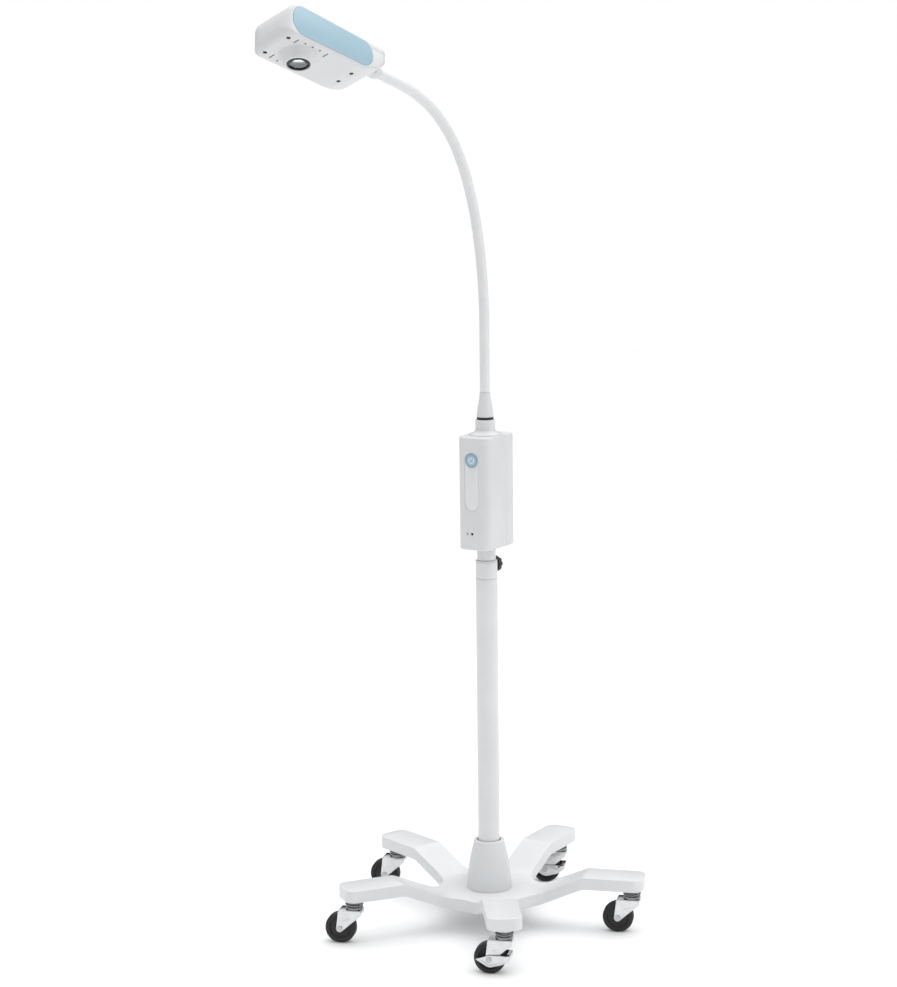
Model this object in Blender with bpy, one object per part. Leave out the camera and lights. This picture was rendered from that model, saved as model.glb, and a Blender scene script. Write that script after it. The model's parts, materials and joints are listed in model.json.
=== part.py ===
"""Examination light on a five-caster stand. Metres, +Z up, the control unit's face towards -Y."""

import math

import bmesh
import bpy
import numpy as np
from mathutils import Matrix, Vector

# Clearances
GAP = 0.0003  # between neighbouring pieces that stay still
RUNNING = 0.00005  # radial clearance of a shaft that turns or slides
WALL = 0.0025  # moulded covers

# Casters
LEG_COUNT = 5
FIRST_LEG_DEG = -54
CASTER_CIRCLE_R = 0.240
TRAIL_DIRECTION_DEG = 200
BRAKED = (1, 3)
TRAIL = 0.0227
WHEEL_R = 0.0254
WHEEL_WIDTH = 0.019
WHEEL_EDGE = 0.002
AXLE_R = 0.003
AXLE_HEAD_R = 0.005
AXLE_HEAD = 0.0012
WHEEL_SIDE_ROOM = 0.0017
WHEEL_TOP_ROOM = 0.0040
FORK_PLATE = 0.002
FORK_TOP = 0.0025
FORK_FRONT = 0.0135
FORK_REAR = 0.0255
FORK_SKIRT = 0.008
FORK_EYE_R = 0.006
STEM_R = 0.0055
STEM_RIVET_R = 0.004
STEM_LENGTH = 0.021
RACEWAY_R = 0.015
RACEWAY = 0.0130
PEDAL_PLATE = 0.0014
PEDAL_REACH = WHEEL_R + 0.0086
PEDAL_HALF_LENGTH = 0.022
PEDAL_EYE_TOP = 0.0075
PEDAL_EYE_BOTTOM = 0.0135
PEDAL_BAR = 0.007

# Base
LEG_HALF_WIDTH = 0.028
LEG_THICKNESS = 0.0195
LEG_TIP_REACH = 0.0205  # past the caster's swivel
LEG_TIP_CORNER = 0.016
LEG_DROP = 0.0332
RAMP_FOOT_R = 0.086
RAMP_FOOT_EASE = 0.014
RAMP_TOP_R = 0.162
RAMP_TOP_EASE = 0.006
LEG_FILLET = 0.048
LEG_EDGE = 0.003
BOSS_R = 0.0155
BOSS_HEIGHT = 0.0043

# Column
TUBE_R = 0.0178
TUBE_WALL = 0.002
TUBE_LENGTH = 0.5235
SHROUD_FOOT_R = TUBE_R + 0.0192
SHROUD_TOP_R = TUBE_R + 0.0072
SHROUD_HEIGHT = 0.082
SHROUD_THROAT = 0.0017
BOLT_R = 0.005
BOLT_HEAD_R = 0.0095
BOLT_HEAD = 0.006
PLUG_HEIGHT = 0.022
COLLAR_HEIGHT = 0.0300
SPIGOT_LENGTH = 0.025
POST_R = TUBE_R - 0.0068
POST_LENGTH = 0.085
SHOULDER_R = TUBE_R - 0.0025
SHOULDER_HEIGHT = 0.0217
STUD_R = 0.004
STUD_REACH = 0.0087  # past the tube's outside
STUD_HEIGHT = 0.0190
KNOB_R = 0.014
KNOB_DEPTH = 0.014
KNOB_START = 0.0034  # past the tube's outside
KNOB_LOBES = 9

# Control unit
UNIT_WIDTH = 0.058
UNIT_DEPTH = 0.089
UNIT_HEIGHT = 0.184
UNIT_FRONT_CORNER = 0.015
UNIT_REAR_CORNER = 0.009
UNIT_EDGE = 0.003
REAR_COVER_DEPTH = 0.028
STEM_NECK_R = 0.008
STEM_NECK_LENGTH = 0.016
BUTTON_R = 0.0096
BUTTON_BELOW_TOP = 0.037
BUTTON_PROUD = 0.0008
BUTTON_THICKNESS = 0.004
BUTTON_TRAVEL = 0.001
SPRING_COIL_R = 0.005
SPRING_WIRE_R = 0.0004
SPRING_TURNS = 3
STRIP_HALF_WIDTH = 0.0125
STRIP_LENGTH = 0.070
STRIP_DEPTH = 0.0011
WINDOW_R = 0.0018
WINDOW_ABOVE_FOOT = 0.027
BOARD_THICKNESS = 0.0016
BOARD_HALF_WIDTH = 0.022
BOARD_HEIGHT = 0.120
SUPPLY_SIZE = (0.040, 0.050, 0.095)
INLET_HALF_WIDTH = 0.0115
INLET_HEIGHT = 0.013
INLET_DEPTH = 0.020
INLET_WALL = 0.0018
INLET_ABOVE_FOOT = 0.030
SOCKET_R = 0.016
SOCKET_HEIGHT = 0.024
SOCKET_FLARE_R = 0.027
SOCKET_PIN_R = 0.008
SOCKET_PIN_LENGTH = 0.018

# Flexible arm
ARM_AZIMUTH_DEG = -103
ARM_R = 0.008
ARM_LENGTH = 0.6215
ARM_STRAIGHT = 0.106
ARM_BEND_END = 0.573
ARM_TILT_DEG = 70.6
ARM_EVEN_SHARE = 0.442
ARM_EASE_POWER = 2.256
ARM_LINKS = 6
BALL_R = 0.0065
CUP_R = 0.0073
BALL_NECK_R = 0.004
SHOULDER_BACK = 0.0086
GASKET_R = 0.0135
GASKET_HEIGHT = 0.0036
FERRULE_HEIGHT = 0.040
FERRULE_R = 0.0135

# Head, in its own frame: +X forwards from the rear screws, +Y to the raised side,
# Z = 0 on the underside
HEAD_AZIMUTH_DEG = -108.5
HEAD_PITCH_DEG = 20.8
HEAD_ROLL_DEG = 23.3
NECK_ABOVE = 0.0350
NECK_R = 0.0110
NECK_STUB = 0.002
NECK_ROOM = 0.0012
HEAD_HALF_WIDTH = 0.043
HEAD_REAR = -0.0516
HEAD_REAR_CURVE = 0.018
HEAD_REAR_SOLID = 0.014
HEAD_CURL = 0.060
HEAD_CURL_RISE = 0.045
HEAD_NOSE = 0.1458
HEAD_NOSE_CURVE = 0.013
HEAD_CHIN = 0.013
HEAD_CHIN_RISE = 0.023
HEAD_BROW = 0.026
HEAD_BROW_DROP = 0.034
HEAD_REAR_HEIGHT = 0.0484
HEAD_NOSE_HEIGHT = 0.0570
HEAD_LOWER_EDGE = 0.004
HEAD_UPPER_EDGE = 0.008
HEAD_WALL = 0.003
SEAM_BELOW_TOP = 0.012
PANEL_REAR = -0.0173
PANEL_FRONT = 0.1371
PANEL_LOW_BORDER = 0.003
PANEL_TOP_BORDER = 0.0057
PANEL_CORNER = 0.0196
PANEL_THICKNESS = 0.0017
POCKET_DEPTH = 0.0015
LENS_X = 0.0907
LENS_BOSS_R = 0.0205
LENS_BOSS_FOOT_R = 0.030
LENS_BOSS_HEIGHT = 0.0146
BEZEL_R = 0.0175
BEZEL_RIM = 0.003
BEZEL_HEIGHT = 0.007
LENS_CROWN = 0.0030
HEAD_SCREWS = ((0.0, 0.0144), (0.1323, 0.0264))
SCREW_RECESS_R = 0.0034
SCREW_RECESS = 0.0016
SINK_SIZE = (0.060, 0.056)
SINK_BASE = 0.003
SINK_HEIGHT = 0.026
SINK_FINS = 6
SINK_FIN = 0.002
DRIVER_SIZE = (0.042, 0.050)

# Stack of heights, from the floor up
FORK_PLATE_Z = 2 * WHEEL_R + WHEEL_TOP_ROOM
FORK_CROWN_Z = FORK_PLATE_Z + FORK_TOP
CASTER_TOP_Z = FORK_CROWN_Z + GAP + RACEWAY
BOSS_Z = CASTER_TOP_Z + GAP
LEG_BOTTOM_Z = BOSS_Z + BOSS_HEIGHT
LEG_TOP_Z = LEG_BOTTOM_Z + LEG_THICKNESS
HUB_TOP_Z = LEG_TOP_Z - LEG_DROP
HUB_BOTTOM_Z = HUB_TOP_Z - LEG_THICKNESS
TUBE_Z = HUB_TOP_Z + GAP
COLLAR_Z = TUBE_Z + TUBE_LENGTH + GAP
COLLAR_TOP_Z = COLLAR_Z + COLLAR_HEIGHT
STUD_Z = COLLAR_Z + STUD_HEIGHT
SHOULDER_Z = COLLAR_TOP_Z + GAP
UNIT_Z = SHOULDER_Z + SHOULDER_HEIGHT + GAP
UNIT_TOP_Z = UNIT_Z + UNIT_HEIGHT
SOCKET_Z = UNIT_TOP_Z + GAP
GASKET_Z = SOCKET_Z + SOCKET_HEIGHT + GAP
FERRULE_Z = GASKET_Z + GASKET_HEIGHT + GAP
ARM_Z = FERRULE_Z + FERRULE_HEIGHT + GAP

FORK_INNER = WHEEL_WIDTH / 2 + WHEEL_SIDE_ROOM
FORK_OUTER = FORK_INNER + FORK_PLATE
PEDAL_INNER = FORK_OUTER + 2 * GAP
PEDAL_OUTER = PEDAL_INNER + PEDAL_PLATE
UNIT_FACE_Y = -UNIT_DEPTH / 2
UNIT_SEAM_Y = UNIT_DEPTH / 2 - REAR_COVER_DEPTH
BUTTON_Z = UNIT_TOP_Z - BUTTON_BELOW_TOP

ROUND = 20
FINE = 28
SMALL = 12


def bore(radius, clearance, sides=ROUND):
    """Corner radius of a faceted hole whose flats keep the clearance to a shaft."""
    return (radius + clearance) / math.cos(math.pi / sides)


# ---------------------------------------------------------------- meshes


def ring(radius, height, sides=ROUND, phase=0.0):
    """A level circle of points, or one point on the axis."""
    if radius == 0:
        return [(0.0, 0.0, height)]
    turns = [2 * math.pi * i / sides + phase for i in range(sides)]
    return [(radius * math.cos(t), radius * math.sin(t), height) for t in turns]


def join_rows(bm, first, second):
    count = max(len(first), len(second))
    for i in range(count):
        k = (i + 1) % count
        corners = [first[i % len(first)], first[k % len(first)]]
        corners += [second[k % len(second)], second[i % len(second)]]
        bm.faces.new(list(dict.fromkeys(corners)))


def loft(name, rows, looped=False):
    """A closed mesh through rows of points. A looped one has its last row joined to its first."""
    bm = bmesh.new()
    made = [[bm.verts.new(point) for point in row] for row in rows]
    for first, second in zip(made, made[1:]):
        join_rows(bm, first, second)
    if looped:
        join_rows(bm, made[-1], made[0])
    else:
        for row in (made[0], made[-1]):
            if len(row) > 2:
                bm.faces.new(row)
    bmesh.ops.recalc_face_normals(bm, faces=bm.faces)
    mesh = bpy.data.meshes.new(name)
    bm.to_mesh(mesh)
    bm.free()
    return mesh


def turned(name, profile, sides=ROUND, looped=False, phase=0.0):
    """A turned mesh from (radius, height) points."""
    return loft(name, [ring(r, z, sides, phase) for r, z in profile], looped)


def prism(name, outline, low, high, axis="z"):
    """An outline of (a, b) points extruded along an axis."""
    if axis == "x":
        rows = [[(h, a, b) for a, b in outline] for h in (low, high)]
    elif axis == "y":
        rows = [[(a, h, b) for a, b in outline] for h in (low, high)]
    else:
        rows = [[(a, b, h) for a, b in outline] for h in (low, high)]
    return loft(name, rows)


def block(name, low, high):
    (x0, y0, z0), (x1, y1, z1) = low, high
    return prism(name, [(x0, y0), (x1, y0), (x1, y1), (x0, y1)], z0, z1)


def filleted(corners, radii, steps=4):
    """A polygon with each corner replaced by an arc of its own radius."""
    points = []
    count = len(corners)
    for i, (corner, radius) in enumerate(zip(corners, radii)):
        here = Vector(corner)
        back = (Vector(corners[i - 1]) - here).normalized()
        ahead = (Vector(corners[(i + 1) % count]) - here).normalized()
        if radius == 0:
            points.append(tuple(here))
            continue
        half = back.angle(ahead) / 2
        centre = here + (back + ahead).normalized() * radius / math.sin(half)
        start = here + back * radius / math.tan(half) - centre
        end = here + ahead * radius / math.tan(half) - centre
        for k in range(steps + 1):
            share = k / steps
            sweep = math.pi - 2 * half
            arm = start * math.sin((1 - share) * sweep) + end * math.sin(share * sweep)
            points.append(tuple(centre + arm / math.sin(sweep)))
    return points


def rectangle(half_width, low, high):
    return [(-half_width, low), (half_width, low), (half_width, high), (-half_width, high)]


def merged(name, meshes, moves=None):
    """Several shapes in one mesh, each moved by its matrix."""
    bm = bmesh.new()
    for i, mesh in enumerate(meshes):
        start = len(bm.verts)
        bm.from_mesh(mesh)
        if moves:
            bm.verts.ensure_lookup_table()
            bmesh.ops.transform(bm, matrix=moves[i], verts=bm.verts[start:])
    mesh = bpy.data.meshes.new(name)
    bm.to_mesh(mesh)
    bm.free()
    return mesh


# ---------------------------------------------------------------- objects


def finish(name, colour, roughness, metallic=0.0, alpha=1.0):
    made = bpy.data.materials.new(name)
    made.use_nodes = True
    shader = made.node_tree.nodes["Principled BSDF"]
    shader.inputs["Base Color"].default_value = (*colour, 1.0)
    shader.inputs["Roughness"].default_value = roughness
    shader.inputs["Metallic"].default_value = metallic
    shader.inputs["Alpha"].default_value = alpha
    return made


def finishes():
    return {
        "white_paint": finish("white_paint", (0.78, 0.78, 0.79), 0.45),
        "white_plastic": finish("white_plastic", (0.80, 0.80, 0.80), 0.40),
        "sleeve": finish("sleeve", (0.82, 0.82, 0.82), 0.5),
        "blue_plastic": finish("blue_plastic", (0.44, 0.63, 0.72), 0.35),
        "black_plastic": finish("black_plastic", (0.015, 0.015, 0.016), 0.5),
        "tyre_rubber": finish("tyre_rubber", (0.02, 0.02, 0.021), 0.7),
        "chrome": finish("chrome", (0.80, 0.81, 0.82), 0.10, 1.0),
        "steel": finish("steel", (0.55, 0.56, 0.57), 0.35, 1.0),
        "aluminium": finish("aluminium", (0.75, 0.76, 0.77), 0.35, 1.0),
        "lens_glass": finish("lens_glass", (0.9, 0.95, 1.0), 0.05, 0.0, 0.35),
        "circuit_board": finish("circuit_board", (0.02, 0.18, 0.07), 0.4),
        "led": finish("led", (0.9, 0.85, 0.45), 0.3),
    }


def place(name, mesh, material, parent, location=(0, 0, 0), rotation=(0, 0, 0)):
    """A named sub-part with its material, shaded smooth between its sharp edges."""
    if not mesh.materials:
        mesh.materials.append(material)
    mesh.shade_smooth()
    mesh.set_sharp_from_angle(angle=math.radians(35))
    made = bpy.data.objects.new(name, mesh)
    bpy.context.scene.collection.objects.link(made)
    made.parent = parent
    made.location = location
    made.rotation_euler = rotation
    return made


def empty(name, parent, location=(0, 0, 0), rotation=(0, 0, 0)):
    made = bpy.data.objects.new(name, None)
    bpy.context.scene.collection.objects.link(made)
    made.parent = parent
    made.location = location
    made.rotation_euler = rotation
    return made


def combine(target, mesh, operation="DIFFERENCE", solver="EXACT"):
    """Cuts a mesh from a sub-part, or adds it, in the sub-part's own frame."""
    tool = bpy.data.objects.new(target.name + "_tool", mesh)
    bpy.context.scene.collection.objects.link(tool)
    tool.parent = target
    tool.hide_render = True
    tool.display_type = "WIRE"
    change = target.modifiers.new(mesh.name, "BOOLEAN")
    change.operation = operation
    change.solver = solver
    change.object = tool


def settled(name, mesh, tools):
    """A mesh with its cuts made, for pieces that are repeated."""
    shape = bpy.data.objects.new(name, mesh)
    bpy.context.scene.collection.objects.link(shape)
    for tool in tools:
        combine(shape, tool)
    view = bpy.context.evaluated_depsgraph_get()
    made = bpy.data.meshes.new_from_object(shape.evaluated_get(view))
    for tool in list(shape.children):
        bpy.data.objects.remove(tool)
    bpy.data.objects.remove(shape)
    made.name = name
    return made


# ---------------------------------------------------------------- casters


def eye_arc(centre, radius, first_deg, last_deg, steps=6):
    turns = [math.radians(first_deg + (last_deg - first_deg) * i / steps) for i in range(steps + 1)]
    return [(centre[0] + radius * math.cos(t), centre[1] + radius * math.sin(t)) for t in turns]


def tangent_deg(centre, radius, point, side):
    """Direction in which a line from the point touches the circle."""
    reach = Vector(point) - Vector(centre)
    return math.degrees(math.atan2(reach.y, reach.x) + side * math.acos(radius / reach.length))


def axle_hole(half_length):
    hole = bore(AXLE_R, RUNNING, SMALL)
    return turned("axle_hole", [(hole, -half_length), (hole, half_length)], SMALL)


def across(mesh, x, z):
    """A mesh made about Z turned to lie along Y at x, z."""
    mesh.transform(Matrix.Translation((x, 0, z)) @ Matrix.Rotation(math.pi / 2, 4, "X"))
    return mesh


def fork_mesh():
    centre = (TRAIL, WHEEL_R)
    low_corner = (-FORK_FRONT, FORK_CROWN_Z - FORK_SKIRT)
    high_corner = (FORK_REAR, FORK_CROWN_Z)
    first = tangent_deg(centre, FORK_EYE_R, high_corner, -1)
    last = tangent_deg(centre, FORK_EYE_R, low_corner, 1) - 360
    side = [low_corner, (-FORK_FRONT, FORK_CROWN_Z), high_corner]
    side += eye_arc(centre, FORK_EYE_R, first, last)
    body = prism("fork", side, -FORK_OUTER, FORK_OUTER, "y")
    low, high = (-CASTER_CIRCLE_R, -FORK_INNER, -WHEEL_R), (CASTER_CIRCLE_R, FORK_INNER, FORK_PLATE_Z)
    inside = block("inside", low, high)
    pin_r = bore(STEM_RIVET_R, RUNNING, SMALL)
    pin_hole = turned("pin_hole", [(pin_r, 0), (pin_r, BOSS_Z)], SMALL)
    axle = across(axle_hole(FORK_OUTER * 2), TRAIL, WHEEL_R)
    return settled("caster_fork", body, [inside, pin_hole, axle])


def stem_mesh():
    rivet_z = FORK_PLATE_Z - GAP
    seat_z = FORK_CROWN_Z + GAP
    profile = [
        (0, rivet_z - AXLE_HEAD / 2),
        (STEM_RIVET_R * 1.3, rivet_z - AXLE_HEAD / 2),
        (STEM_RIVET_R * 1.3, rivet_z),
        (STEM_RIVET_R, rivet_z),
        (STEM_RIVET_R, seat_z),
        (RACEWAY_R * 0.8, seat_z),
        (RACEWAY_R * 0.95, seat_z + RACEWAY * 0.15),
        (RACEWAY_R * 0.95, seat_z + RACEWAY * 0.45),
        (RACEWAY_R, seat_z + RACEWAY * 0.55),
        (RACEWAY_R, seat_z + RACEWAY * 0.85),
        (RACEWAY_R * 0.8, CASTER_TOP_Z),
        (STEM_R, CASTER_TOP_Z),
        (STEM_R, CASTER_TOP_Z + STEM_LENGTH),
        (0, CASTER_TOP_Z + STEM_LENGTH),
    ]
    return turned("caster_stem", profile, SMALL)


def wheel_mesh():
    """A wheel about Z, with a flat of its tread facing straight down when it is turned to lie along Y."""
    half = WHEEL_WIDTH / 2
    tread = WHEEL_R / math.cos(math.pi / ROUND)
    hole = bore(AXLE_R, RUNNING)
    profile = [
        (hole, -half),
        (tread - WHEEL_EDGE, -half),
        (tread, -half + WHEEL_EDGE),
        (tread, half - WHEEL_EDGE),
        (tread - WHEEL_EDGE, half),
        (hole, half),
    ]
    return turned("caster_wheel", profile, looped=True, phase=math.pi / ROUND)


def axle_mesh(half_grip):
    head = half_grip + GAP
    profile = [
        (0, -head - AXLE_HEAD),
        (AXLE_HEAD_R, -head - AXLE_HEAD),
        (AXLE_HEAD_R, -head),
        (AXLE_R, -head),
        (AXLE_R, head),
        (AXLE_HEAD_R, head),
        (AXLE_HEAD_R, head + AXLE_HEAD),
        (0, head + AXLE_HEAD),
    ]
    return turned("caster_axle", profile, SMALL)


def pedal_mesh():
    """Two cheek plates on the axle, joined by a foot bar in front of the wheel."""
    bar_x = TRAIL - PEDAL_REACH
    bar_low = WHEEL_R + PEDAL_BAR * 0.1
    corners = [
        (TRAIL + PEDAL_HALF_LENGTH, WHEEL_R),
        (TRAIL, WHEEL_R + PEDAL_EYE_TOP),
        (bar_x + PEDAL_BAR, bar_low + PEDAL_BAR),
        (bar_x, bar_low + PEDAL_BAR),
        (bar_x, bar_low),
        (TRAIL - PEDAL_HALF_LENGTH, WHEEL_R - PEDAL_EYE_TOP),
        (TRAIL, WHEEL_R - PEDAL_EYE_BOTTOM),
    ]
    side = filleted(corners, [0, PEDAL_EYE_TOP, 0, 0, 0, 0, PEDAL_EYE_BOTTOM])
    body = prism("pedal", side, -PEDAL_OUTER, PEDAL_OUTER, "y")
    bar_end = bar_x + PEDAL_BAR * 0.8
    inside = block("inside", (bar_end, -PEDAL_INNER, 0), (CASTER_CIRCLE_R, PEDAL_INNER, 4 * WHEEL_R))
    return settled("brake_pedal", body, [inside, across(axle_hole(PEDAL_OUTER * 2), TRAIL, WHEEL_R)])


def leg_angle(i):
    return math.radians(FIRST_LEG_DEG + 360 / LEG_COUNT * i)


def casters(root, looks):
    fork, stem, wheel, pedal = fork_mesh(), stem_mesh(), wheel_mesh(), pedal_mesh()
    plain_axle, long_axle = axle_mesh(FORK_OUTER), axle_mesh(PEDAL_OUTER)
    on_axle = (TRAIL, 0, WHEEL_R)
    lying = (math.pi / 2, 0, 0)
    for i in range(LEG_COUNT):
        number = i + 1
        spot = (CASTER_CIRCLE_R * math.cos(leg_angle(i)), CASTER_CIRCLE_R * math.sin(leg_angle(i)), 0)
        swivel = empty(f"swivel_{number}", root, spot, (0, 0, math.radians(TRAIL_DIRECTION_DEG)))
        place(f"caster_stem_{number}", stem, looks["chrome"], swivel)
        place(f"caster_fork_{number}", fork, looks["chrome"], swivel)
        place(f"caster_wheel_{number}", wheel, looks["tyre_rubber"], swivel, on_axle, lying)
        axle = long_axle if number in BRAKED else plain_axle
        place(f"caster_axle_{number}", axle, looks["steel"], swivel, on_axle, lying)
        if number in BRAKED:
            place(f"brake_pedal_{number}", pedal, looks["chrome"], swivel)


# ---------------------------------------------------------------- base and column


def eased(x, ease):
    """Zero before a bend, x after it, and a smooth bend between."""
    if x <= -ease:
        return 0.0
    if x >= ease:
        return x
    return (x + ease) ** 2 / (4 * ease)


def leg_height(u):
    """Height of a leg's top at a distance u along it."""
    rise = eased(u - RAMP_FOOT_R, RAMP_FOOT_EASE) - eased(u - RAMP_TOP_R, RAMP_TOP_EASE)
    return HUB_TOP_Z + LEG_DROP * rise / (RAMP_TOP_R - RAMP_FOOT_R)


def leg_stations():
    """(distance along the leg, half width) from the valley between two legs to the tip."""
    half_turn = math.pi / LEG_COUNT
    fillet_u = (LEG_HALF_WIDTH + LEG_FILLET) / math.tan(half_turn)
    stations = []
    for k in range(4):
        turn = math.pi + half_turn + (math.pi / 2 - half_turn) * k / 3
        across_leg = LEG_HALF_WIDTH + LEG_FILLET + LEG_FILLET * math.sin(turn)
        stations.append((fillet_u + LEG_FILLET * math.cos(turn), across_leg))
    for u in (RAMP_TOP_R - RAMP_TOP_EASE, RAMP_TOP_R, RAMP_TOP_R + RAMP_TOP_EASE):
        if u > fillet_u:
            stations.append((u, LEG_HALF_WIDTH))
    tip = CASTER_CIRCLE_R + LEG_TIP_REACH
    for k in range(5):
        turn = math.pi / 2 * k / 4
        u = tip - LEG_TIP_CORNER + LEG_TIP_CORNER * math.sin(turn)
        stations.append((u, LEG_HALF_WIDTH - LEG_TIP_CORNER + LEG_TIP_CORNER * math.cos(turn)))
    return stations


def star_mesh():
    """Five legs round a hub. Each leg is a row of cross strips, so that its top can ramp."""
    bm = bmesh.new()
    stations = leg_stations()
    corner_r = math.hypot(*stations[0])

    def corner_pair(turn, radius, height):
        x, y = radius * math.cos(turn), radius * math.sin(turn)
        return bm.verts.new((x, y, height)), bm.verts.new((x, y, height - LEG_THICKNESS))

    half_turn = math.pi / LEG_COUNT
    valley_z = leg_height(stations[0][0])
    valleys = [corner_pair(leg_angle(i) + half_turn, corner_r, valley_z) for i in range(LEG_COUNT)]
    for level in (0, 1):
        bm.faces.new([pair[level] for pair in valleys])
    for i in range(LEG_COUNT):
        turn = leg_angle(i)
        rows = [(valleys[i - 1], valleys[i])]
        for u, v in stations[1:]:
            sides = []
            for side in (-v, v):
                sides.append(corner_pair(turn + math.atan2(side, u), math.hypot(u, side), leg_height(u)))
            rows.append(tuple(sides))
        for (left, right), (far_left, far_right) in zip(rows, rows[1:]):
            bm.faces.new((left[0], right[0], far_right[0], far_left[0]))
            bm.faces.new((left[1], far_left[1], far_right[1], right[1]))
            bm.faces.new((left[0], far_left[0], far_left[1], left[1]))
            bm.faces.new((right[0], right[1], far_right[1], far_right[0]))
        left, right = rows[-1]
        bm.faces.new((left[0], right[0], right[1], left[1]))
    bmesh.ops.recalc_face_normals(bm, faces=bm.faces)
    mesh = bpy.data.meshes.new("star_base")
    bm.to_mesh(mesh)
    bm.free()
    return mesh


def at_each_leg(name, mesh):
    outwards = Matrix.Translation((CASTER_CIRCLE_R, 0, 0))
    spots = [Matrix.Rotation(leg_angle(i), 4, "Z") @ outwards for i in range(LEG_COUNT)]
    return merged(name, [mesh] * LEG_COUNT, spots)


def base(root, looks):
    star = place("star_base", star_mesh(), looks["white_paint"], root)
    round_over = star.modifiers.new("edges", "BEVEL")
    round_over.width = LEG_EDGE
    round_over.segments = 1
    round_over.limit_method = "ANGLE"
    round_over.angle_limit = math.radians(50)
    boss_top = LEG_BOTTOM_Z + LEG_THICKNESS / 2
    boss = turned("boss", [(BOSS_R, BOSS_Z), (BOSS_R, boss_top)])
    combine(star, at_each_leg("bosses", boss), "UNION", "MANIFOLD")
    stem_top = CASTER_TOP_Z + STEM_LENGTH + GAP
    stem_r = bore(STEM_R, GAP, SMALL)
    stem_hole = turned("stem_hole", [(stem_r, CASTER_TOP_Z - BOSS_HEIGHT), (stem_r, stem_top)], SMALL)
    combine(star, at_each_leg("stem_holes", stem_hole))
    bolt_hole = turned("bolt_hole", [(bore(BOLT_R, GAP), 0), (bore(BOLT_R, GAP), LEG_TOP_Z)])
    combine(star, bolt_hole)

    throat = TUBE_R + SHROUD_THROAT
    foot_z = HUB_TOP_Z + GAP
    bulge = (SHROUD_FOOT_R + SHROUD_TOP_R) / 2 + 0.0022
    profile = [
        (SHROUD_FOOT_R, foot_z),
        (bulge, foot_z + SHROUD_HEIGHT * 0.45),
        (SHROUD_TOP_R, foot_z + SHROUD_HEIGHT - 0.002),
        (SHROUD_TOP_R - 0.002, foot_z + SHROUD_HEIGHT),
        (throat, foot_z + SHROUD_HEIGHT),
        (throat, foot_z + SHROUD_HEIGHT - 2 * WALL),
        (bulge - WALL, foot_z + SHROUD_HEIGHT * 0.45),
        (SHROUD_FOOT_R - WALL, foot_z),
    ]
    place("hub_shroud", turned("hub_shroud", profile, FINE, looped=True), looks["white_plastic"], root)

    head_z = HUB_BOTTOM_Z - GAP
    shank_top = TUBE_Z + PLUG_HEIGHT * 0.9
    bolt = [(0, head_z - BOLT_HEAD), (BOLT_HEAD_R, head_z - BOLT_HEAD), (BOLT_HEAD_R, head_z)]
    bolt += [(BOLT_R, head_z), (BOLT_R, shank_top), (0, shank_top)]
    place("column_bolt", turned("column_bolt", bolt), looks["steel"], root)


def column(root, looks):
    inner = TUBE_R - TUBE_WALL
    top = TUBE_Z + TUBE_LENGTH
    tube = [(TUBE_R, TUBE_Z), (TUBE_R, top), (inner, top), (inner, TUBE_Z)]
    place("column_tube", turned("column_tube", tube, FINE, looped=True), looks["white_paint"], root)

    fitted = inner * math.cos(math.pi / FINE) - GAP
    hole = bore(BOLT_R, GAP)
    plug_top = TUBE_Z + PLUG_HEIGHT
    plug = [(fitted, TUBE_Z), (fitted, plug_top), (hole, plug_top), (hole, TUBE_Z)]
    place("column_plug", turned("column_plug", plug, looped=True), looks["steel"], root)

    socket = bore(POST_R, RUNNING)
    collar = [
        (TUBE_R, COLLAR_Z),
        (TUBE_R, COLLAR_TOP_Z - 0.0008),
        (TUBE_R - 0.0008, COLLAR_TOP_Z),
        (socket, COLLAR_TOP_Z),
        (socket, COLLAR_Z - SPIGOT_LENGTH),
        (fitted, COLLAR_Z - SPIGOT_LENGTH),
        (fitted, COLLAR_Z),
    ]
    collar_mesh = turned("column_collar", collar, looped=True)
    made = place("column_collar", collar_mesh, looks["white_paint"], root)
    stud_bore = bore(STUD_R, RUNNING)
    stud_hole = turned("stud_hole", [(stud_bore, 0), (stud_bore, 2 * TUBE_R)])
    stud_hole.transform(Matrix.Translation((0, 0, STUD_Z)) @ Matrix.Rotation(-math.pi / 2, 4, "X"))
    combine(made, stud_hole)

    lying = (-math.pi / 2, 0, 0)
    centre = (0, 0, STUD_Z)
    tip = POST_R + GAP
    end = TUBE_R + STUD_REACH
    stud = turned("clamp_stud", [(0, tip), (STUD_R, tip), (STUD_R, end), (0, end)])
    place("clamp_stud", stud, looks["steel"], root, centre, lying)
    place("clamp_knob", knob_mesh(), looks["black_plastic"], root, centre, lying)


def knob_mesh():
    """A lobed dome with a blind hole for the stud."""
    sides = KNOB_LOBES * 2
    hole = bore(STUD_R, RUNNING, sides)
    floor = TUBE_R + STUD_REACH + GAP
    start = TUBE_R + KNOB_START
    profile = [
        (0, floor),
        (hole, floor),
        (hole, start),
        (KNOB_R * 0.82, start),
        (KNOB_R, start + KNOB_DEPTH * 0.18),
        (KNOB_R * 0.93, start + KNOB_DEPTH * 0.6),
        (KNOB_R * 0.55, start + KNOB_DEPTH * 0.93),
        (0, start + KNOB_DEPTH),
    ]
    rows = []
    for radius, height in profile:
        row = ring(radius, height, sides)
        if radius > KNOB_R * 0.9:
            lobe = [1 - 0.08 * (i % 2) for i in range(sides)]
            row = [(x * share, y * share, z) for (x, y, z), share in zip(row, lobe)]
        rows.append(row)
    return loft("clamp_knob", rows)


# ---------------------------------------------------------------- control unit


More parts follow.
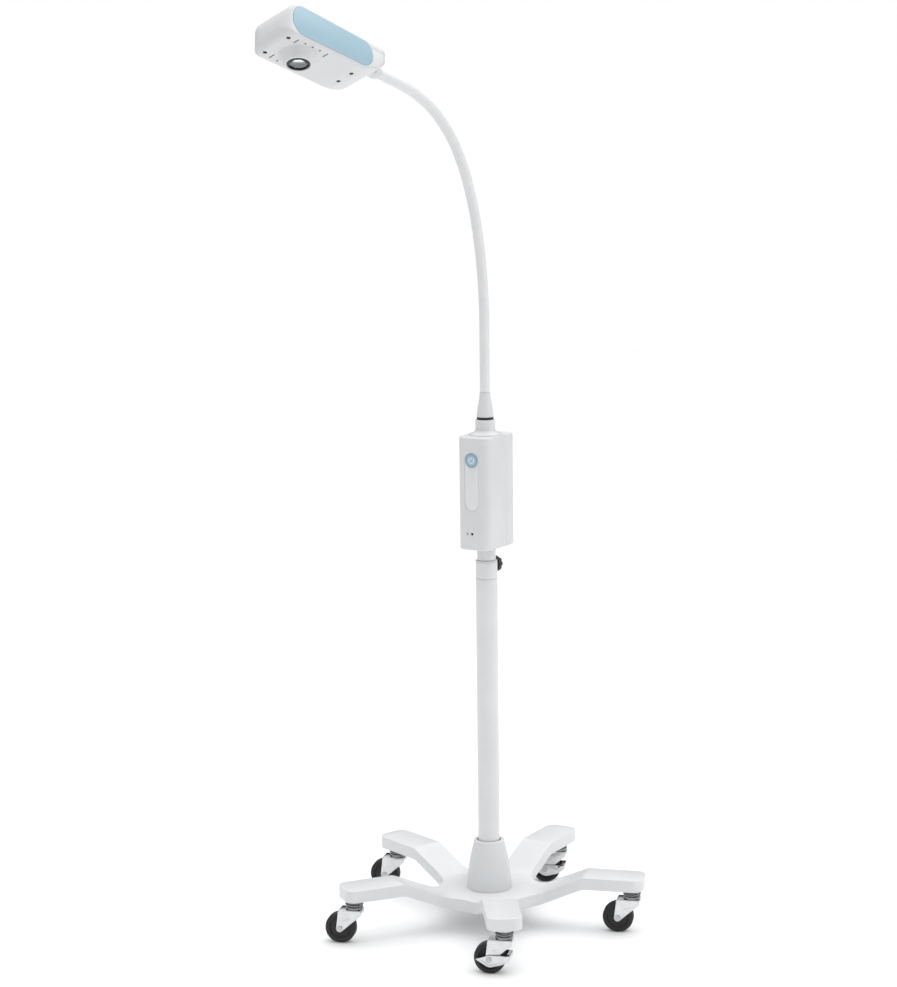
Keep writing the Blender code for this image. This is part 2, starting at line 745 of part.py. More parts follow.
def unit_outline(inset):
    """The unit's outline from above, set in by an amount."""
    corners = rectangle(UNIT_WIDTH / 2 - inset, -UNIT_DEPTH / 2 + inset, UNIT_DEPTH / 2 - inset)
    front, rear = UNIT_FRONT_CORNER - inset, UNIT_REAR_CORNER - inset
    return filleted(corners, [front, front, rear, rear], 4)


def unit_body(name, inset):
    low, high = UNIT_Z + inset, UNIT_TOP_Z - inset
    edge = UNIT_EDGE
    levels = [(inset + edge, low), (inset, low + edge), (inset, high - edge), (inset + edge, high)]
    return loft(name, [[(x, y, z) for x, y in unit_outline(depth)] for depth, z in levels])


def upright_hole(radius, low, high):
    return turned("hole", [(radius, low), (radius, high)])


def front_hole(radius, z, reach, sides=ROUND):
    hole = turned("front_hole", [(radius, -reach), (radius, reach)], sides)
    hole.transform(Matrix.Translation((0, UNIT_FACE_Y, z)) @ Matrix.Rotation(math.pi / 2, 4, "X"))
    return hole


def strip_outline(grow):
    """A long round-ended outline, x and z, round the button and down from it."""
    half = STRIP_HALF_WIDTH + grow
    low = BUTTON_Z - STRIP_LENGTH
    points = [(half * math.cos(t), BUTTON_Z + half * math.sin(t)) for t in np.linspace(0, math.pi, 9)]
    turns = np.linspace(math.pi, 2 * math.pi, 9)
    points += [(half * math.cos(t), low + half * math.sin(t)) for t in turns]
    return [(float(x), float(z)) for x, z in points]


def inlet_opening(grow):
    return rectangle(
        INLET_HALF_WIDTH + grow,
        UNIT_Z + INLET_ABOVE_FOOT - INLET_HEIGHT / 2 - grow,
        UNIT_Z + INLET_ABOVE_FOOT + INLET_HEIGHT / 2 + grow,
    )


def unit_covers(pivot, looks):
    far = UNIT_DEPTH
    front = place("unit_front_cover", unit_body("unit_front_cover", 0), looks["white_plastic"], pivot)
    rear = place("unit_rear_cover", unit_body("unit_rear_cover", 0), looks["white_plastic"], pivot)
    low, high = UNIT_Z - far, UNIT_TOP_Z + far
    for cover, start, end in ((front, UNIT_SEAM_Y, far), (rear, -far, UNIT_SEAM_Y + GAP)):
        combine(cover, unit_body("inside", WALL))
        combine(cover, block("other_side", (-far, start, low), (far, end, high)))
    combine(front, upright_hole(bore(STEM_NECK_R, GAP), UNIT_Z - WALL, UNIT_Z + 2 * WALL))
    combine(front, upright_hole(bore(SOCKET_PIN_R, GAP), UNIT_TOP_Z - 2 * WALL, UNIT_TOP_Z + WALL))
    combine(front, front_hole(bore(BUTTON_R, GAP), BUTTON_Z, 2 * WALL))
    combine(front, front_hole(bore(WINDOW_R, GAP, SMALL), UNIT_Z + WINDOW_ABOVE_FOOT, 2 * WALL, SMALL))
    pocket = prism("pocket", strip_outline(GAP), UNIT_FACE_Y - WALL, UNIT_FACE_Y + STRIP_DEPTH + GAP, "y")
    combine(front, pocket)
    rear_wall = UNIT_DEPTH / 2
    opening = prism("opening", inlet_opening(GAP), rear_wall - 2 * WALL, rear_wall + WALL, "y")
    combine(rear, opening)


def unit_controls(pivot, looks):
    strip = prism("dimmer_strip", strip_outline(0), UNIT_FACE_Y, UNIT_FACE_Y + STRIP_DEPTH, "y")
    made = place("dimmer_strip", strip, looks["white_plastic"], pivot)
    combine(made, front_hole(bore(BUTTON_R, GAP), BUTTON_Z, WALL))

    facing = (math.pi / 2, 0, 0)
    on_face = (0, UNIT_FACE_Y, BUTTON_Z)
    back = BUTTON_PROUD - BUTTON_THICKNESS
    button = [
        (0, back),
        (BUTTON_R, back),
        (BUTTON_R, BUTTON_PROUD - 0.0006),
        (BUTTON_R - 0.0008, BUTTON_PROUD),
        (0, BUTTON_PROUD),
    ]
    place("power_button", turned("power_button", button), looks["blue_plastic"], pivot, on_face, facing)

    window_z = UNIT_Z + WINDOW_ABOVE_FOOT
    window = turned("indicator_lens", [(0, -WALL), (WINDOW_R, -WALL), (WINDOW_R, 0), (0, 0)], SMALL)
    place("indicator_lens", window, looks["black_plastic"], pivot, (0, UNIT_FACE_Y, window_z), facing)


def board_face_y():
    return UNIT_FACE_Y - BUTTON_PROUD + BUTTON_THICKNESS + BUTTON_TRAVEL * 4


def button_spring(pivot, looks):
    """A short coil between the button and the board."""
    start = UNIT_FACE_Y - BUTTON_PROUD + BUTTON_THICKNESS + GAP + SPRING_WIRE_R
    end = board_face_y() - GAP - SPRING_WIRE_R
    steps = 9 * SPRING_TURNS
    curve = bpy.data.curves.new("button_spring", "CURVE")
    curve.dimensions = "3D"
    curve.bevel_depth = SPRING_WIRE_R
    curve.bevel_resolution = 0
    curve.use_fill_caps = True
    line = curve.splines.new("POLY")
    line.points.add(steps)
    for i in range(steps + 1):
        turn = 2 * math.pi * SPRING_TURNS * i / steps
        y = start + (end - start) * i / steps
        x, z = SPRING_COIL_R * math.cos(turn), SPRING_COIL_R * math.sin(turn)
        line.points[i].co = (x, y, BUTTON_Z + z, 1)
    made = bpy.data.objects.new("button_spring", curve)
    curve.materials.append(looks["steel"])
    bpy.context.scene.collection.objects.link(made)
    made.parent = pivot


def unit_insides(pivot, looks):
    face = board_face_y()
    top = UNIT_TOP_Z - 6 * WALL
    low = (-BOARD_HALF_WIDTH, face, top - BOARD_HEIGHT)
    high = (BOARD_HALF_WIDTH, face + BOARD_THICKNESS, top)
    place("control_board", block("control_board", low, high), looks["circuit_board"], pivot)

    width, depth, height = SUPPLY_SIZE
    middle = (UNIT_Z + UNIT_TOP_Z) / 2
    start = face + 4 * WALL
    low = (-width / 2, start, middle - height / 2)
    high = (width / 2, start + depth, middle + height / 2)
    place("power_supply", block("power_supply", low, high), looks["aluminium"], pivot)

    wall_y = UNIT_DEPTH / 2
    inlet = prism("power_inlet", inlet_opening(0), wall_y - INLET_DEPTH, wall_y, "y")
    made = place("power_inlet", inlet, looks["black_plastic"], pivot)
    floor_y = wall_y - INLET_DEPTH + INLET_WALL
    cavity = prism("cavity", inlet_opening(-INLET_WALL), floor_y, wall_y + WALL, "y")
    combine(made, cavity)


def unit_fittings(pivot, looks):
    neck_top = UNIT_Z + STEM_NECK_LENGTH
    stem = [
        (0, SHOULDER_Z - POST_LENGTH),
        (POST_R, SHOULDER_Z - POST_LENGTH),
        (POST_R, SHOULDER_Z),
        (SHOULDER_R, SHOULDER_Z),
        (SHOULDER_R, UNIT_Z - GAP),
        (STEM_NECK_R, UNIT_Z - GAP),
        (STEM_NECK_R, neck_top),
        (0, neck_top),
    ]
    place("unit_stem", turned("unit_stem", stem), looks["white_paint"], pivot)

    pin_z = UNIT_TOP_Z - SOCKET_PIN_LENGTH
    top = SOCKET_Z + SOCKET_HEIGHT
    rise = SOCKET_FLARE_R - SOCKET_R
    flare = []
    for k in range(5):
        turn = math.pi / 2 * k / 4
        radius = SOCKET_FLARE_R - rise * math.sin(turn)
        flare.append((radius, SOCKET_Z + GAP * 3 + rise * 0.7 * (1 - math.cos(turn))))
    socket = [(0, pin_z), (SOCKET_PIN_R, pin_z), (SOCKET_PIN_R, SOCKET_Z), (SOCKET_FLARE_R, SOCKET_Z)]
    socket += flare + [(SOCKET_R, top), (0, top)]
    place("arm_socket", turned("arm_socket", socket), looks["white_paint"], pivot)


# ---------------------------------------------------------------- flexible arm


def arm_tilt(s):
    """Lean from upright, in radians, at a distance s along the arm."""
    t = min(max((s - ARM_STRAIGHT) / (ARM_BEND_END - ARM_STRAIGHT), 0.0), 1.0)
    late = t**ARM_EASE_POWER
    bend = ARM_EVEN_SHARE * t + (1 - ARM_EVEN_SHARE) * late * late * (3 - 2 * late)
    return math.radians(ARM_TILT_DEG) * bend


def arm_frame(s, steps=240):
    """Point on the arm's centreline and the direction along it."""
    azimuth = math.radians(ARM_AZIMUTH_DEG)
    ahead = Vector((math.cos(azimuth), math.sin(azimuth), 0))
    up = Vector((0, 0, 1))
    point = Vector((0, 0, ARM_Z))
    for k in range(steps):
        tilt = arm_tilt(s * (k + 0.5) / steps)
        point = point + (ahead * math.sin(tilt) + up * math.cos(tilt)) * s / steps
    tilt = arm_tilt(s)
    return point, ahead * math.sin(tilt) + up * math.cos(tilt)


def arm_joint_s(number):
    return ARM_LENGTH * number / ARM_LINKS


def circle_about(point, direction, radius, offset=0.0, sides=SMALL):
    """A ring of points square to a direction, or one point on it."""
    middle = point + direction * offset
    if radius == 0:
        return [tuple(middle)]
    azimuth = math.radians(ARM_AZIMUTH_DEG)
    over = direction.cross(Vector((-math.sin(azimuth), math.cos(azimuth), 0))).normalized()
    side = over.cross(direction)
    turns = [2 * math.pi * i / sides for i in range(sides)]
    return [tuple(middle + side * radius * math.cos(t) + over * radius * math.sin(t)) for t in turns]


def link_mesh(number):
    """A length of arm with a cup at its lower end and a ball at its upper end."""
    start, end = arm_joint_s(number - 1), arm_joint_s(number)
    rows = []
    if number > 1:
        point, along = arm_frame(start)
        for k in range(3):
            turn = math.pi / 2 * k / 3
            rows.append(circle_about(point, along, CUP_R * math.sin(turn), CUP_R * math.cos(turn)))
        rim = GAP + RUNNING
        rows.append(circle_about(point, along, math.sqrt(CUP_R**2 - rim**2), rim))
        rows.append(circle_about(point, along, ARM_R, rim))
        first = start + CUP_R + RUNNING
    else:
        first = start
    last = end - SHOULDER_BACK if number < ARM_LINKS else end
    for k in range(5):
        point, along = arm_frame(first + (last - first) * k / 4)
        rows.append(circle_about(point, along, ARM_R))
    if number < ARM_LINKS:
        point, along = arm_frame(end)
        rows[-1] = circle_about(point, along, ARM_R, -SHOULDER_BACK)
        neck_back = math.sqrt(BALL_R**2 - BALL_NECK_R**2)
        rows.append(circle_about(point, along, BALL_NECK_R, -SHOULDER_BACK))
        rows.append(circle_about(point, along, BALL_NECK_R, -neck_back))
        for k in range(1, 5):
            turn = math.pi - math.asin(BALL_NECK_R / BALL_R)
            turn *= 1 - k / 4
            radius = BALL_R * math.sin(turn) if k < 4 else 0
            rows.append(circle_about(point, along, radius, BALL_R * math.cos(turn)))
    return loft(f"arm_link_{number}", rows)


def arm_foot(pivot, looks):
    hole = GASKET_R * 0.6
    gasket = [(GASKET_R, 0), (GASKET_R, GASKET_HEIGHT), (hole, GASKET_HEIGHT), (hole, 0)]
    ring_mesh = turned("arm_gasket", gasket, looped=True)
    place("arm_gasket", ring_mesh, looks["black_plastic"], pivot, (0, 0, GASKET_Z))
    profile = [(0, 0), (FERRULE_R, 0), (FERRULE_R, FERRULE_HEIGHT * 0.12)]
    profile += [(FERRULE_R * 0.85, FERRULE_HEIGHT * 0.42), (ARM_R * 1.12, FERRULE_HEIGHT * 0.8)]
    profile += [(ARM_R * 1.04, FERRULE_HEIGHT), (0, FERRULE_HEIGHT)]
    cone = turned("arm_lower_ferrule", profile)
    place("arm_lower_ferrule", cone, looks["white_plastic"], pivot, (0, 0, FERRULE_Z))


def arm(pivot, looks):
    arm_foot(pivot, looks)
    holder = pivot
    for number in range(1, ARM_LINKS + 1):
        if number > 1:
            spot = arm_frame(arm_joint_s(number - 1))[0]
            held = empty(f"arm_joint_{number - 1}", holder)
            held.location = spot - pivot_sum(holder, pivot)
            holder = held
        made = place(f"arm_link_{number}", link_mesh(number), looks["sleeve"], holder)
        made.location = -pivot_sum(holder, pivot)
    return holder


def pivot_sum(holder, pivot):
    """How far a chain of empties has moved its children."""
    total = Vector((0, 0, 0))
    while holder is not pivot:
        total = total + holder.location
        holder = holder.parent
    return total


# ---------------------------------------------------------------- head


def head_turn():
    """Rotation of the head: forwards, across and up, level and then rolled."""
    azimuth = math.radians(HEAD_AZIMUTH_DEG)
    pitch, roll = math.radians(HEAD_PITCH_DEG), math.radians(HEAD_ROLL_DEG)
    flat = math.cos(pitch)
    forward = Vector((math.cos(azimuth) * flat, math.sin(azimuth) * flat, math.sin(pitch)))
    level = Vector((0, 0, 1)).cross(forward).normalized()
    above = forward.cross(level)
    side = level * math.cos(roll) + above * math.sin(roll)
    return Matrix((forward, side, forward.cross(side))).transposed()


def head_matrix():
    neck = arm_frame(ARM_LENGTH)[0]
    neck_x = HEAD_REAR - NECK_STUB - NECK_ROOM
    return Matrix.Translation(neck) @ head_turn().to_4x4() @ Matrix.Translation((-neck_x, 0, -NECK_ABOVE))


def rounded_end(distance, length):
    """From 0 at the start of a quarter ellipse to 1 at its end."""
    share = min(max(distance / length, 0.0), 1.0)
    return 1 - math.sqrt(1 - share * share)


def head_floor(x):
    curl = HEAD_CURL_RISE * rounded_end(HEAD_REAR + HEAD_CURL - x, HEAD_CURL)
    return curl + HEAD_CHIN_RISE * rounded_end(x - HEAD_NOSE + HEAD_CHIN, HEAD_CHIN)


def head_top(x):
    share = (x - HEAD_REAR) / (HEAD_NOSE - HEAD_REAR)
    return HEAD_REAR_HEIGHT + (HEAD_NOSE_HEIGHT - HEAD_REAR_HEIGHT) * share


def head_roof(x):
    return head_top(x) - HEAD_BROW_DROP * rounded_end(x - HEAD_NOSE + HEAD_BROW, HEAD_BROW)


def head_half(x):
    """Half width, narrowing with squarish corners at the nose and the rear."""
    width = HEAD_HALF_WIDTH
    nose_share = (x - HEAD_NOSE + HEAD_NOSE_CURVE) / HEAD_NOSE_CURVE
    rear_share = (HEAD_REAR + HEAD_REAR_CURVE - x) / HEAD_REAR_CURVE
    for past in (nose_share, rear_share):
        share = min(max(past, 0.0), 1.0) ** 1.5
        width *= (1 - share * share) ** 0.32
    return width


def head_section(x, inset):
    half, low, high = head_half(x) - inset, head_floor(x) + inset, head_roof(x) - inset
    lower = min(HEAD_LOWER_EDGE, (high - low) / 3)
    upper = min(HEAD_UPPER_EDGE, (high - low) / 3)
    outline = filleted(rectangle(half, low, high), [lower, lower, upper, upper], 2)
    return [(x, y, z) for y, z in outline]


def head_solid(inset, rear, nose):
    """The head between two distances, set in by an amount, as a row of cross sections."""
    start, end = HEAD_REAR + HEAD_CURL, HEAD_NOSE - HEAD_BROW
    curl = [rear + (start - rear) * share for share in (0, 0.03, 0.1, 0.22, 0.4, 0.65, 1)]
    front = [end + (nose - end) * share for share in (0, 0.35, 0.6, 0.78, 0.9, 1)]
    return loft("head_solid", [head_section(x, inset) for x in curl + front])


def panel_outline(grow):
    low = PANEL_LOW_BORDER - grow
    rear, front = PANEL_REAR - grow, PANEL_FRONT + grow
    corners = [
        (rear, low),
        (front, low),
        (front, head_top(front) - PANEL_TOP_BORDER + grow),
        (rear, head_top(rear) - PANEL_TOP_BORDER + grow),
    ]
    return filleted(corners, [PANEL_CORNER + grow] * 4, 4)


def side_pocket(side):
    low, high = sorted((side * (HEAD_HALF_WIDTH - POCKET_DEPTH), side * (HEAD_HALF_WIDTH + WALL)))
    return prism("side_pocket", panel_outline(GAP), low, high, "y")


def seam_side(above, gap):
    """Everything on one side of the seam between the head's two shells."""
    far = HEAD_NOSE * 2
    edge = [(x, head_top(x) - SEAM_BELOW_TOP + gap) for x in (-far, far)]
    level = far if above else -far
    outline = edge + [(far, level), (-far, level)]
    return prism("seam_side", outline if above else outline[::-1], -far, far, "y")


def head_housings(frame, looks):
    neck_start = HEAD_REAR - NECK_STUB
    housings = []
    for name, above, gap in (("head_lower_housing", True, 0), ("head_upper_housing", False, GAP)):
        made = place(name, head_solid(0, HEAD_REAR + GAP, HEAD_NOSE - GAP), looks["white_plastic"], frame)
        combine(made, head_solid(HEAD_WALL, HEAD_REAR + HEAD_REAR_SOLID, HEAD_NOSE - HEAD_WALL))
        neck = turned("neck", [(NECK_R, neck_start), (NECK_R, HEAD_REAR + HEAD_REAR_SOLID * 1.2)])
        neck.transform(Matrix.Translation((0, 0, NECK_ABOVE)) @ Matrix.Rotation(math.pi / 2, 4, "Y"))
        combine(made, neck, "UNION")
        combine(made, seam_side(above, gap))
        housings.append(made)
    lower, upper = housings

    foot = HEAD_WALL / 2
    cone = [(LENS_BOSS_R, -LENS_BOSS_HEIGHT), (LENS_BOSS_FOOT_R, 0), (LENS_BOSS_FOOT_R, foot)]
    boss = turned("boss", cone, FINE)
    boss.transform(Matrix.Translation((LENS_X, 0, 0)))
    combine(lower, boss, "UNION")
    reach = 2 * LENS_BOSS_HEIGHT
    lens_hole = turned("lens_hole", [(bore(BEZEL_R, GAP), -reach), (bore(BEZEL_R, GAP), reach)])
    lens_hole.transform(Matrix.Translation((LENS_X, 0, 0)))
    combine(lower, lens_hole)
    recess = turned("recess", [(SCREW_RECESS_R, -SCREW_RECESS), (SCREW_RECESS_R, SCREW_RECESS)], SMALL)
    spots = [(x, side * y) for x, y in HEAD_SCREWS for side in (-1, 1)]
    combine(lower, merged("recesses", [recess] * 4, [Matrix.Translation((x, y, 0)) for x, y in spots]))
    for housing in (lower, upper):
        for side in (-1, 1):
            combine(housing, side_pocket(side))


def head_trim(frame, looks):
    for name, side in (("side_panel_left", 1), ("side_panel_right", -1)):
        inner = HEAD_HALF_WIDTH - POCKET_DEPTH + GAP
        low, high = sorted((side * inner, side * (inner + PANEL_THICKNESS)))
        place(name, prism(name, panel_outline(0), low, high, "y"), looks["blue_plastic"], frame)

    glass_r = BEZEL_R - BEZEL_RIM - GAP
    face = -LENS_BOSS_HEIGHT
    inner = glass_r + GAP
    lens_back = face + BEZEL_HEIGHT
    bezel = [(BEZEL_R, face), (BEZEL_R, lens_back), (inner, lens_back), (inner, face)]
    at_lens = (LENS_X, 0, 0)
    place("lens_bezel", turned("lens_bezel", bezel, looped=True), looks["black_plastic"], frame, at_lens)
    dome = [(0, face - LENS_CROWN + 0.0015)]
    for k in range(1, 4):
        share = k / 3
        radius = glass_r * math.cos(math.pi / ROUND) * share
        dome.append((radius, face + 0.0015 - LENS_CROWN * (1 - share**2)))
    dome += [(glass_r * math.cos(math.pi / ROUND), lens_back), (0, lens_back)]
    place("lens", turned("lens", dome), looks["lens_glass"], frame, at_lens)


def head_insides(frame, looks):
    back = -LENS_BOSS_HEIGHT + BEZEL_HEIGHT + GAP
    sink_z = HEAD_WALL + 2 * GAP
    led_r = BEZEL_R - BEZEL_RIM
    led = turned("led_module", [(0, back), (led_r, back), (led_r, sink_z - GAP), (0, sink_z - GAP)])
    place("led_module", led, looks["led"], frame, (LENS_X, 0, 0))

    length, width = SINK_SIZE
    fins_at = [LENS_X - length / 2 + (length - SINK_FIN) * i / (SINK_FINS - 1) for i in range(SINK_FINS)]
    side = [(LENS_X - length / 2, sink_z), (LENS_X + length / 2, sink_z)]
    base_z, top_z = sink_z + SINK_BASE, sink_z + SINK_HEIGHT
    for x in reversed(fins_at):
        side += [(x + SINK_FIN, base_z), (x + SINK_FIN, top_z), (x, top_z), (x, base_z)]
    side = list(dict.fromkeys(side))
    place("heat_sink", prism("heat_sink", side, -width / 2, width / 2, "y"), looks["aluminium"], frame)

    length, width = DRIVER_SIZE
    front = LENS_X - SINK_SIZE[0] / 2 - 2 * HEAD_WALL
    low = (front - length, -width / 2, 2 * HEAD_WALL)
    high = (front, width / 2, 2 * HEAD_WALL + BOARD_THICKNESS)
    place("driver_board", block("driver_board", low, high), looks["circuit_board"], frame)


def head(holder, pivot, looks):
    point, along = arm_frame(ARM_LENGTH)
    hole = bore(ARM_R, GAP, SMALL)
    facing = head_turn().col[0]
    near = NECK_ROOM - GAP
    rows = [circle_about(point, facing, radius, near, ROUND) for radius in (hole, NECK_R * 0.92)]
    rows.append(circle_about(point, facing, NECK_R, near - 0.001, ROUND))
    profile = ((NECK_R, -0.006), (NECK_R * 0.9, -0.010), (hole * 1.06, -0.013), (hole, -0.013))
    rows += [circle_about(point, along, radius, offset, ROUND) for radius, offset in profile]
    collar_mesh = loft("arm_upper_ferrule", rows, looped=True)
    collar = place("arm_upper_ferrule", collar_mesh, looks["white_plastic"], holder)
    collar.location = -pivot_sum(holder, pivot)
    frame = empty("head", holder)
    frame.matrix_local = Matrix.Translation(-pivot_sum(holder, pivot)) @ head_matrix()
    head_housings(frame, looks)
    head_trim(frame, looks)
    head_insides(frame, looks)


# ---------------------------------------------------------------- assembly


def centre_on_footprint(root):
    """Moves the whole light so that the middle of its box stands on the origin."""
    view = bpy.context.evaluated_depsgraph_get()
    view.update()
    low, high = np.full(3, np.inf), np.full(3, -np.inf)
    for item in bpy.context.scene.objects:
        if item.type == "EMPTY" or item.hide_render:
            continue
        seen = item.evaluated_get(view)
        mesh = seen.to_mesh()
        points = np.empty(len(mesh.vertices) * 3)
        mesh.vertices.foreach_get("co", points)
        turn = np.array(seen.matrix_world)
        points = points.reshape(-1, 3) @ turn[:3, :3].T + turn[:3, 3]
        low, high = np.minimum(low, points.min(0)), np.maximum(high, points.max(0))
        seen.to_mesh_clear()
    middle = (low + high) / 2
    root.location = (-middle[0], -middle[1], 0)


def main():
    for item in list(bpy.data.objects):
        bpy.data.objects.remove(item)
    looks = finishes()
    root = empty("stand", None)
    casters(root, looks)
    base(root, looks)
    column(root, looks)
    unit = empty("control_unit", root)
    unit_covers(unit, looks)
    unit_controls(unit, looks)
    button_spring(unit, looks)
    unit_insides(unit, looks)
    unit_fittings(unit, looks)
    holder = arm(unit, looks)
    head(holder, unit, looks)
    centre_on_footprint(root)
    bpy.context.view_layer.update()


main()
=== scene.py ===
import json
import math

import bmesh
import bpy
import numpy as np
from mathutils import Matrix, Vector


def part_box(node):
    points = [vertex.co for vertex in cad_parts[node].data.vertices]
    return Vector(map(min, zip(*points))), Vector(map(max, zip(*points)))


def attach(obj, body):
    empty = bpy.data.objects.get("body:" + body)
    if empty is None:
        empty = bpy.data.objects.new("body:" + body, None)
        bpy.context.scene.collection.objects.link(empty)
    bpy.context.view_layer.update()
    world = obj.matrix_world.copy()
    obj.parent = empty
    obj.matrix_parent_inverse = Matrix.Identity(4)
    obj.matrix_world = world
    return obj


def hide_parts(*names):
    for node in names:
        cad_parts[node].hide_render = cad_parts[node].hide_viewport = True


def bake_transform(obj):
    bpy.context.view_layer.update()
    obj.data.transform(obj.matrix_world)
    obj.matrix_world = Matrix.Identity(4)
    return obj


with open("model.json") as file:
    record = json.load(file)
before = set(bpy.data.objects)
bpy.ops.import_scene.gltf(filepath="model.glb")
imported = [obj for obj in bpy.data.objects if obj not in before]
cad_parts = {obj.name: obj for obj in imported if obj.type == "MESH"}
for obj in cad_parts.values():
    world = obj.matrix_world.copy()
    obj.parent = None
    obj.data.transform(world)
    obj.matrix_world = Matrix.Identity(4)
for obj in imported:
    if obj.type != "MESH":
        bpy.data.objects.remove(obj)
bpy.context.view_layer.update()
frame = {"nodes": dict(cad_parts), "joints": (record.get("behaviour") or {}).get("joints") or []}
joints = {joint["name"]: joint for joint in frame["joints"]}


def middleOf(node):
    low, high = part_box(node)
    return (low + high) / 2


def heights(node):
    low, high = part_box(node)
    return low.z, high.z


columnAxis = Vector((middleOf("column_tube").x, middleOf("column_tube").y, 0))
onColumn = Matrix.Translation(columnAxis)
clearance = 0.0003  # between neighbouring pieces
print("frame loaded")

# Camera
viewpoint = {
    "around": 30.6,  # degrees about the column
    "distance": 3.8558,
    "height": 1.3676,
    "yaw": -0.900,
    "pitch": 9.455,
    "roll": -0.679,
    "lens": 87.9,
    "sensorWidth": 36,
    "farClip": 60,
}


def makeCamera(look):
    yaw, pitch, roll = (math.radians(look[key]) for key in ("yaw", "pitch", "roll"))
    ahead = Vector(
        (math.sin(yaw) * math.cos(pitch), math.cos(yaw) * math.cos(pitch), -math.sin(pitch))
    )
    right = Vector((math.cos(yaw), -math.sin(yaw), 0))
    up = right.cross(ahead)
    rolledRight = right * math.cos(roll) + up * math.sin(roll)
    rolledUp = up * math.cos(roll) - right * math.sin(roll)
    turn = Matrix((rolledRight, rolledUp, -ahead)).transposed().to_4x4()
    around = Matrix.Rotation(math.radians(look["around"]), 4, "Z")
    spot = Matrix.Translation((0, -look["distance"], look["height"]))
    lens = bpy.data.cameras.new("viewCamera")
    lens.lens = look["lens"]
    lens.sensor_width = look["sensorWidth"]
    lens.clip_end = look["farClip"]
    camera = bpy.data.objects.new("viewCamera", lens)
    bpy.context.scene.collection.objects.link(camera)
    camera.matrix_world = onColumn @ around @ spot @ turn
    bpy.context.scene.camera = camera


makeCamera(viewpoint)
print("camera placed")


# Plain mesh helpers, used by most pieces
def meshFrom(shape, name):
    mesh = bpy.data.meshes.new(name)
    shape.to_mesh(mesh)
    shape.free()
    return mesh


def ringPoints(radius, height, sides, phase=0.0):
    if radius == 0:
        return [(0.0, 0.0, height)]
    turns = [2 * math.pi * i / sides + phase for i in range(sides)]
    return [(radius * math.cos(t), radius * math.sin(t), height) for t in turns]


def skinRows(name, rows, looped=False):
    shape = bmesh.new()
    made = [[shape.verts.new(point) for point in row] for row in rows]
    pairs = list(zip(made, made[1:]))
    if looped:
        pairs.append((made[-1], made[0]))
    for first, second in pairs:
        count = max(len(first), len(second))
        for i in range(count):
            k = (i + 1) % count
            corners = [first[i % len(first)], first[k % len(first)]]
            corners += [second[k % len(second)], second[i % len(second)]]
            shape.faces.new(list(dict.fromkeys(corners)))
    if not looped:
        for row in (made[0], made[-1]):
            if len(row) > 2:
                shape.faces.new(row)
    bmesh.ops.recalc_face_normals(shape, faces=shape.faces)
    return meshFrom(shape, name)


def lathe(name, profile, sides=64, looped=False):
    return skinRows(name, [ringPoints(r, z, sides) for r, z in profile], looped)


def plate(name, outline, low, high, axis="y"):
    order = {"x": (2, 0, 1), "y": (0, 2, 1), "z": (0, 1, 2)}[axis]
    return skinRows(
        name, [[tuple((*spot, h)[k] for k in order) for spot in outline] for h in (low, high)]
    )


def box3(name, low, high):
    (x0, y0, z0), (x1, y1, z1) = low, high
    return plate(name, [(x0, y0), (x1, y0), (x1, y1), (x0, y1)], z0, z1, "z")


def roundCorners(corners, radii, steps=8):
    points = []
    for i, (corner, radius) in enumerate(zip(corners, radii)):
        here = Vector(corner)
        back = (Vector(corners[i - 1]) - here).normalized()
        ahead = (Vector(corners[(i + 1) % len(corners)]) - here).normalized()
        if radius <= 0:
            points.append(tuple(here))
            continue
        half = back.angle(ahead) / 2
        centre = here + (back + ahead).normalized() * radius / math.sin(half)
        start = here + back * radius / math.tan(half) - centre
        end = here + ahead * radius / math.tan(half) - centre
        sweep = math.pi - 2 * half
        for k in range(steps + 1):
            share = k / steps
            arm = start * math.sin((1 - share) * sweep) + end * math.sin(share * sweep)
            points.append(tuple(centre + arm / math.sin(sweep)))
    return points


def rectangle(halfWidth, low, high):
    return [(-halfWidth, low), (halfWidth, low), (halfWidth, high), (-halfWidth, high)]


def gather(name, meshes, moves):
    shape = bmesh.new()
    for mesh, move in zip(meshes, moves):
        start = len(shape.verts)
        shape.from_mesh(mesh)
        shape.verts.ensure_lookup_table()
        bmesh.ops.transform(shape, matrix=move, verts=shape.verts[start:])
    return meshFrom(shape, name)


def standIn(name, mesh):
    made = bpy.data.objects.new(name, mesh)
    bpy.context.scene.collection.objects.link(made)
    return made


def settle(thing, extras=()):
    view = bpy.context.evaluated_depsgraph_get()
    view.update()
    mesh = bpy.data.meshes.new_from_object(thing.evaluated_get(view))
    for item in (thing, *extras):
        bpy.data.objects.remove(item)
    return mesh


def carve(mesh, tools, operation="DIFFERENCE", solver="EXACT"):
    thing = standIn("carved", mesh)
    cutters = []
    for tool in tools:
        cutter = standIn("cutter", tool)
        change = thing.modifiers.new("cut", "BOOLEAN")
        change.operation = operation
        change.solver = solver
        change.object = cutter
        cutters.append(cutter)
    return settle(thing, cutters)


def easeEdges(mesh, width, segments=2, angle=50):
    thing = standIn("eased", mesh)
    ease = thing.modifiers.new("edges", "BEVEL")
    ease.width = width
    ease.segments = segments
    ease.limit_method = "ANGLE"
    ease.angle_limit = math.radians(angle)
    return settle(thing)


def lyingAlongY(mesh, x=0.0, y=0.0, z=0.0, towards=1):
    mesh.transform(Matrix.Translation((x, y, z)) @ Matrix.Rotation(towards * math.pi / 2, 4, "X"))
    return mesh


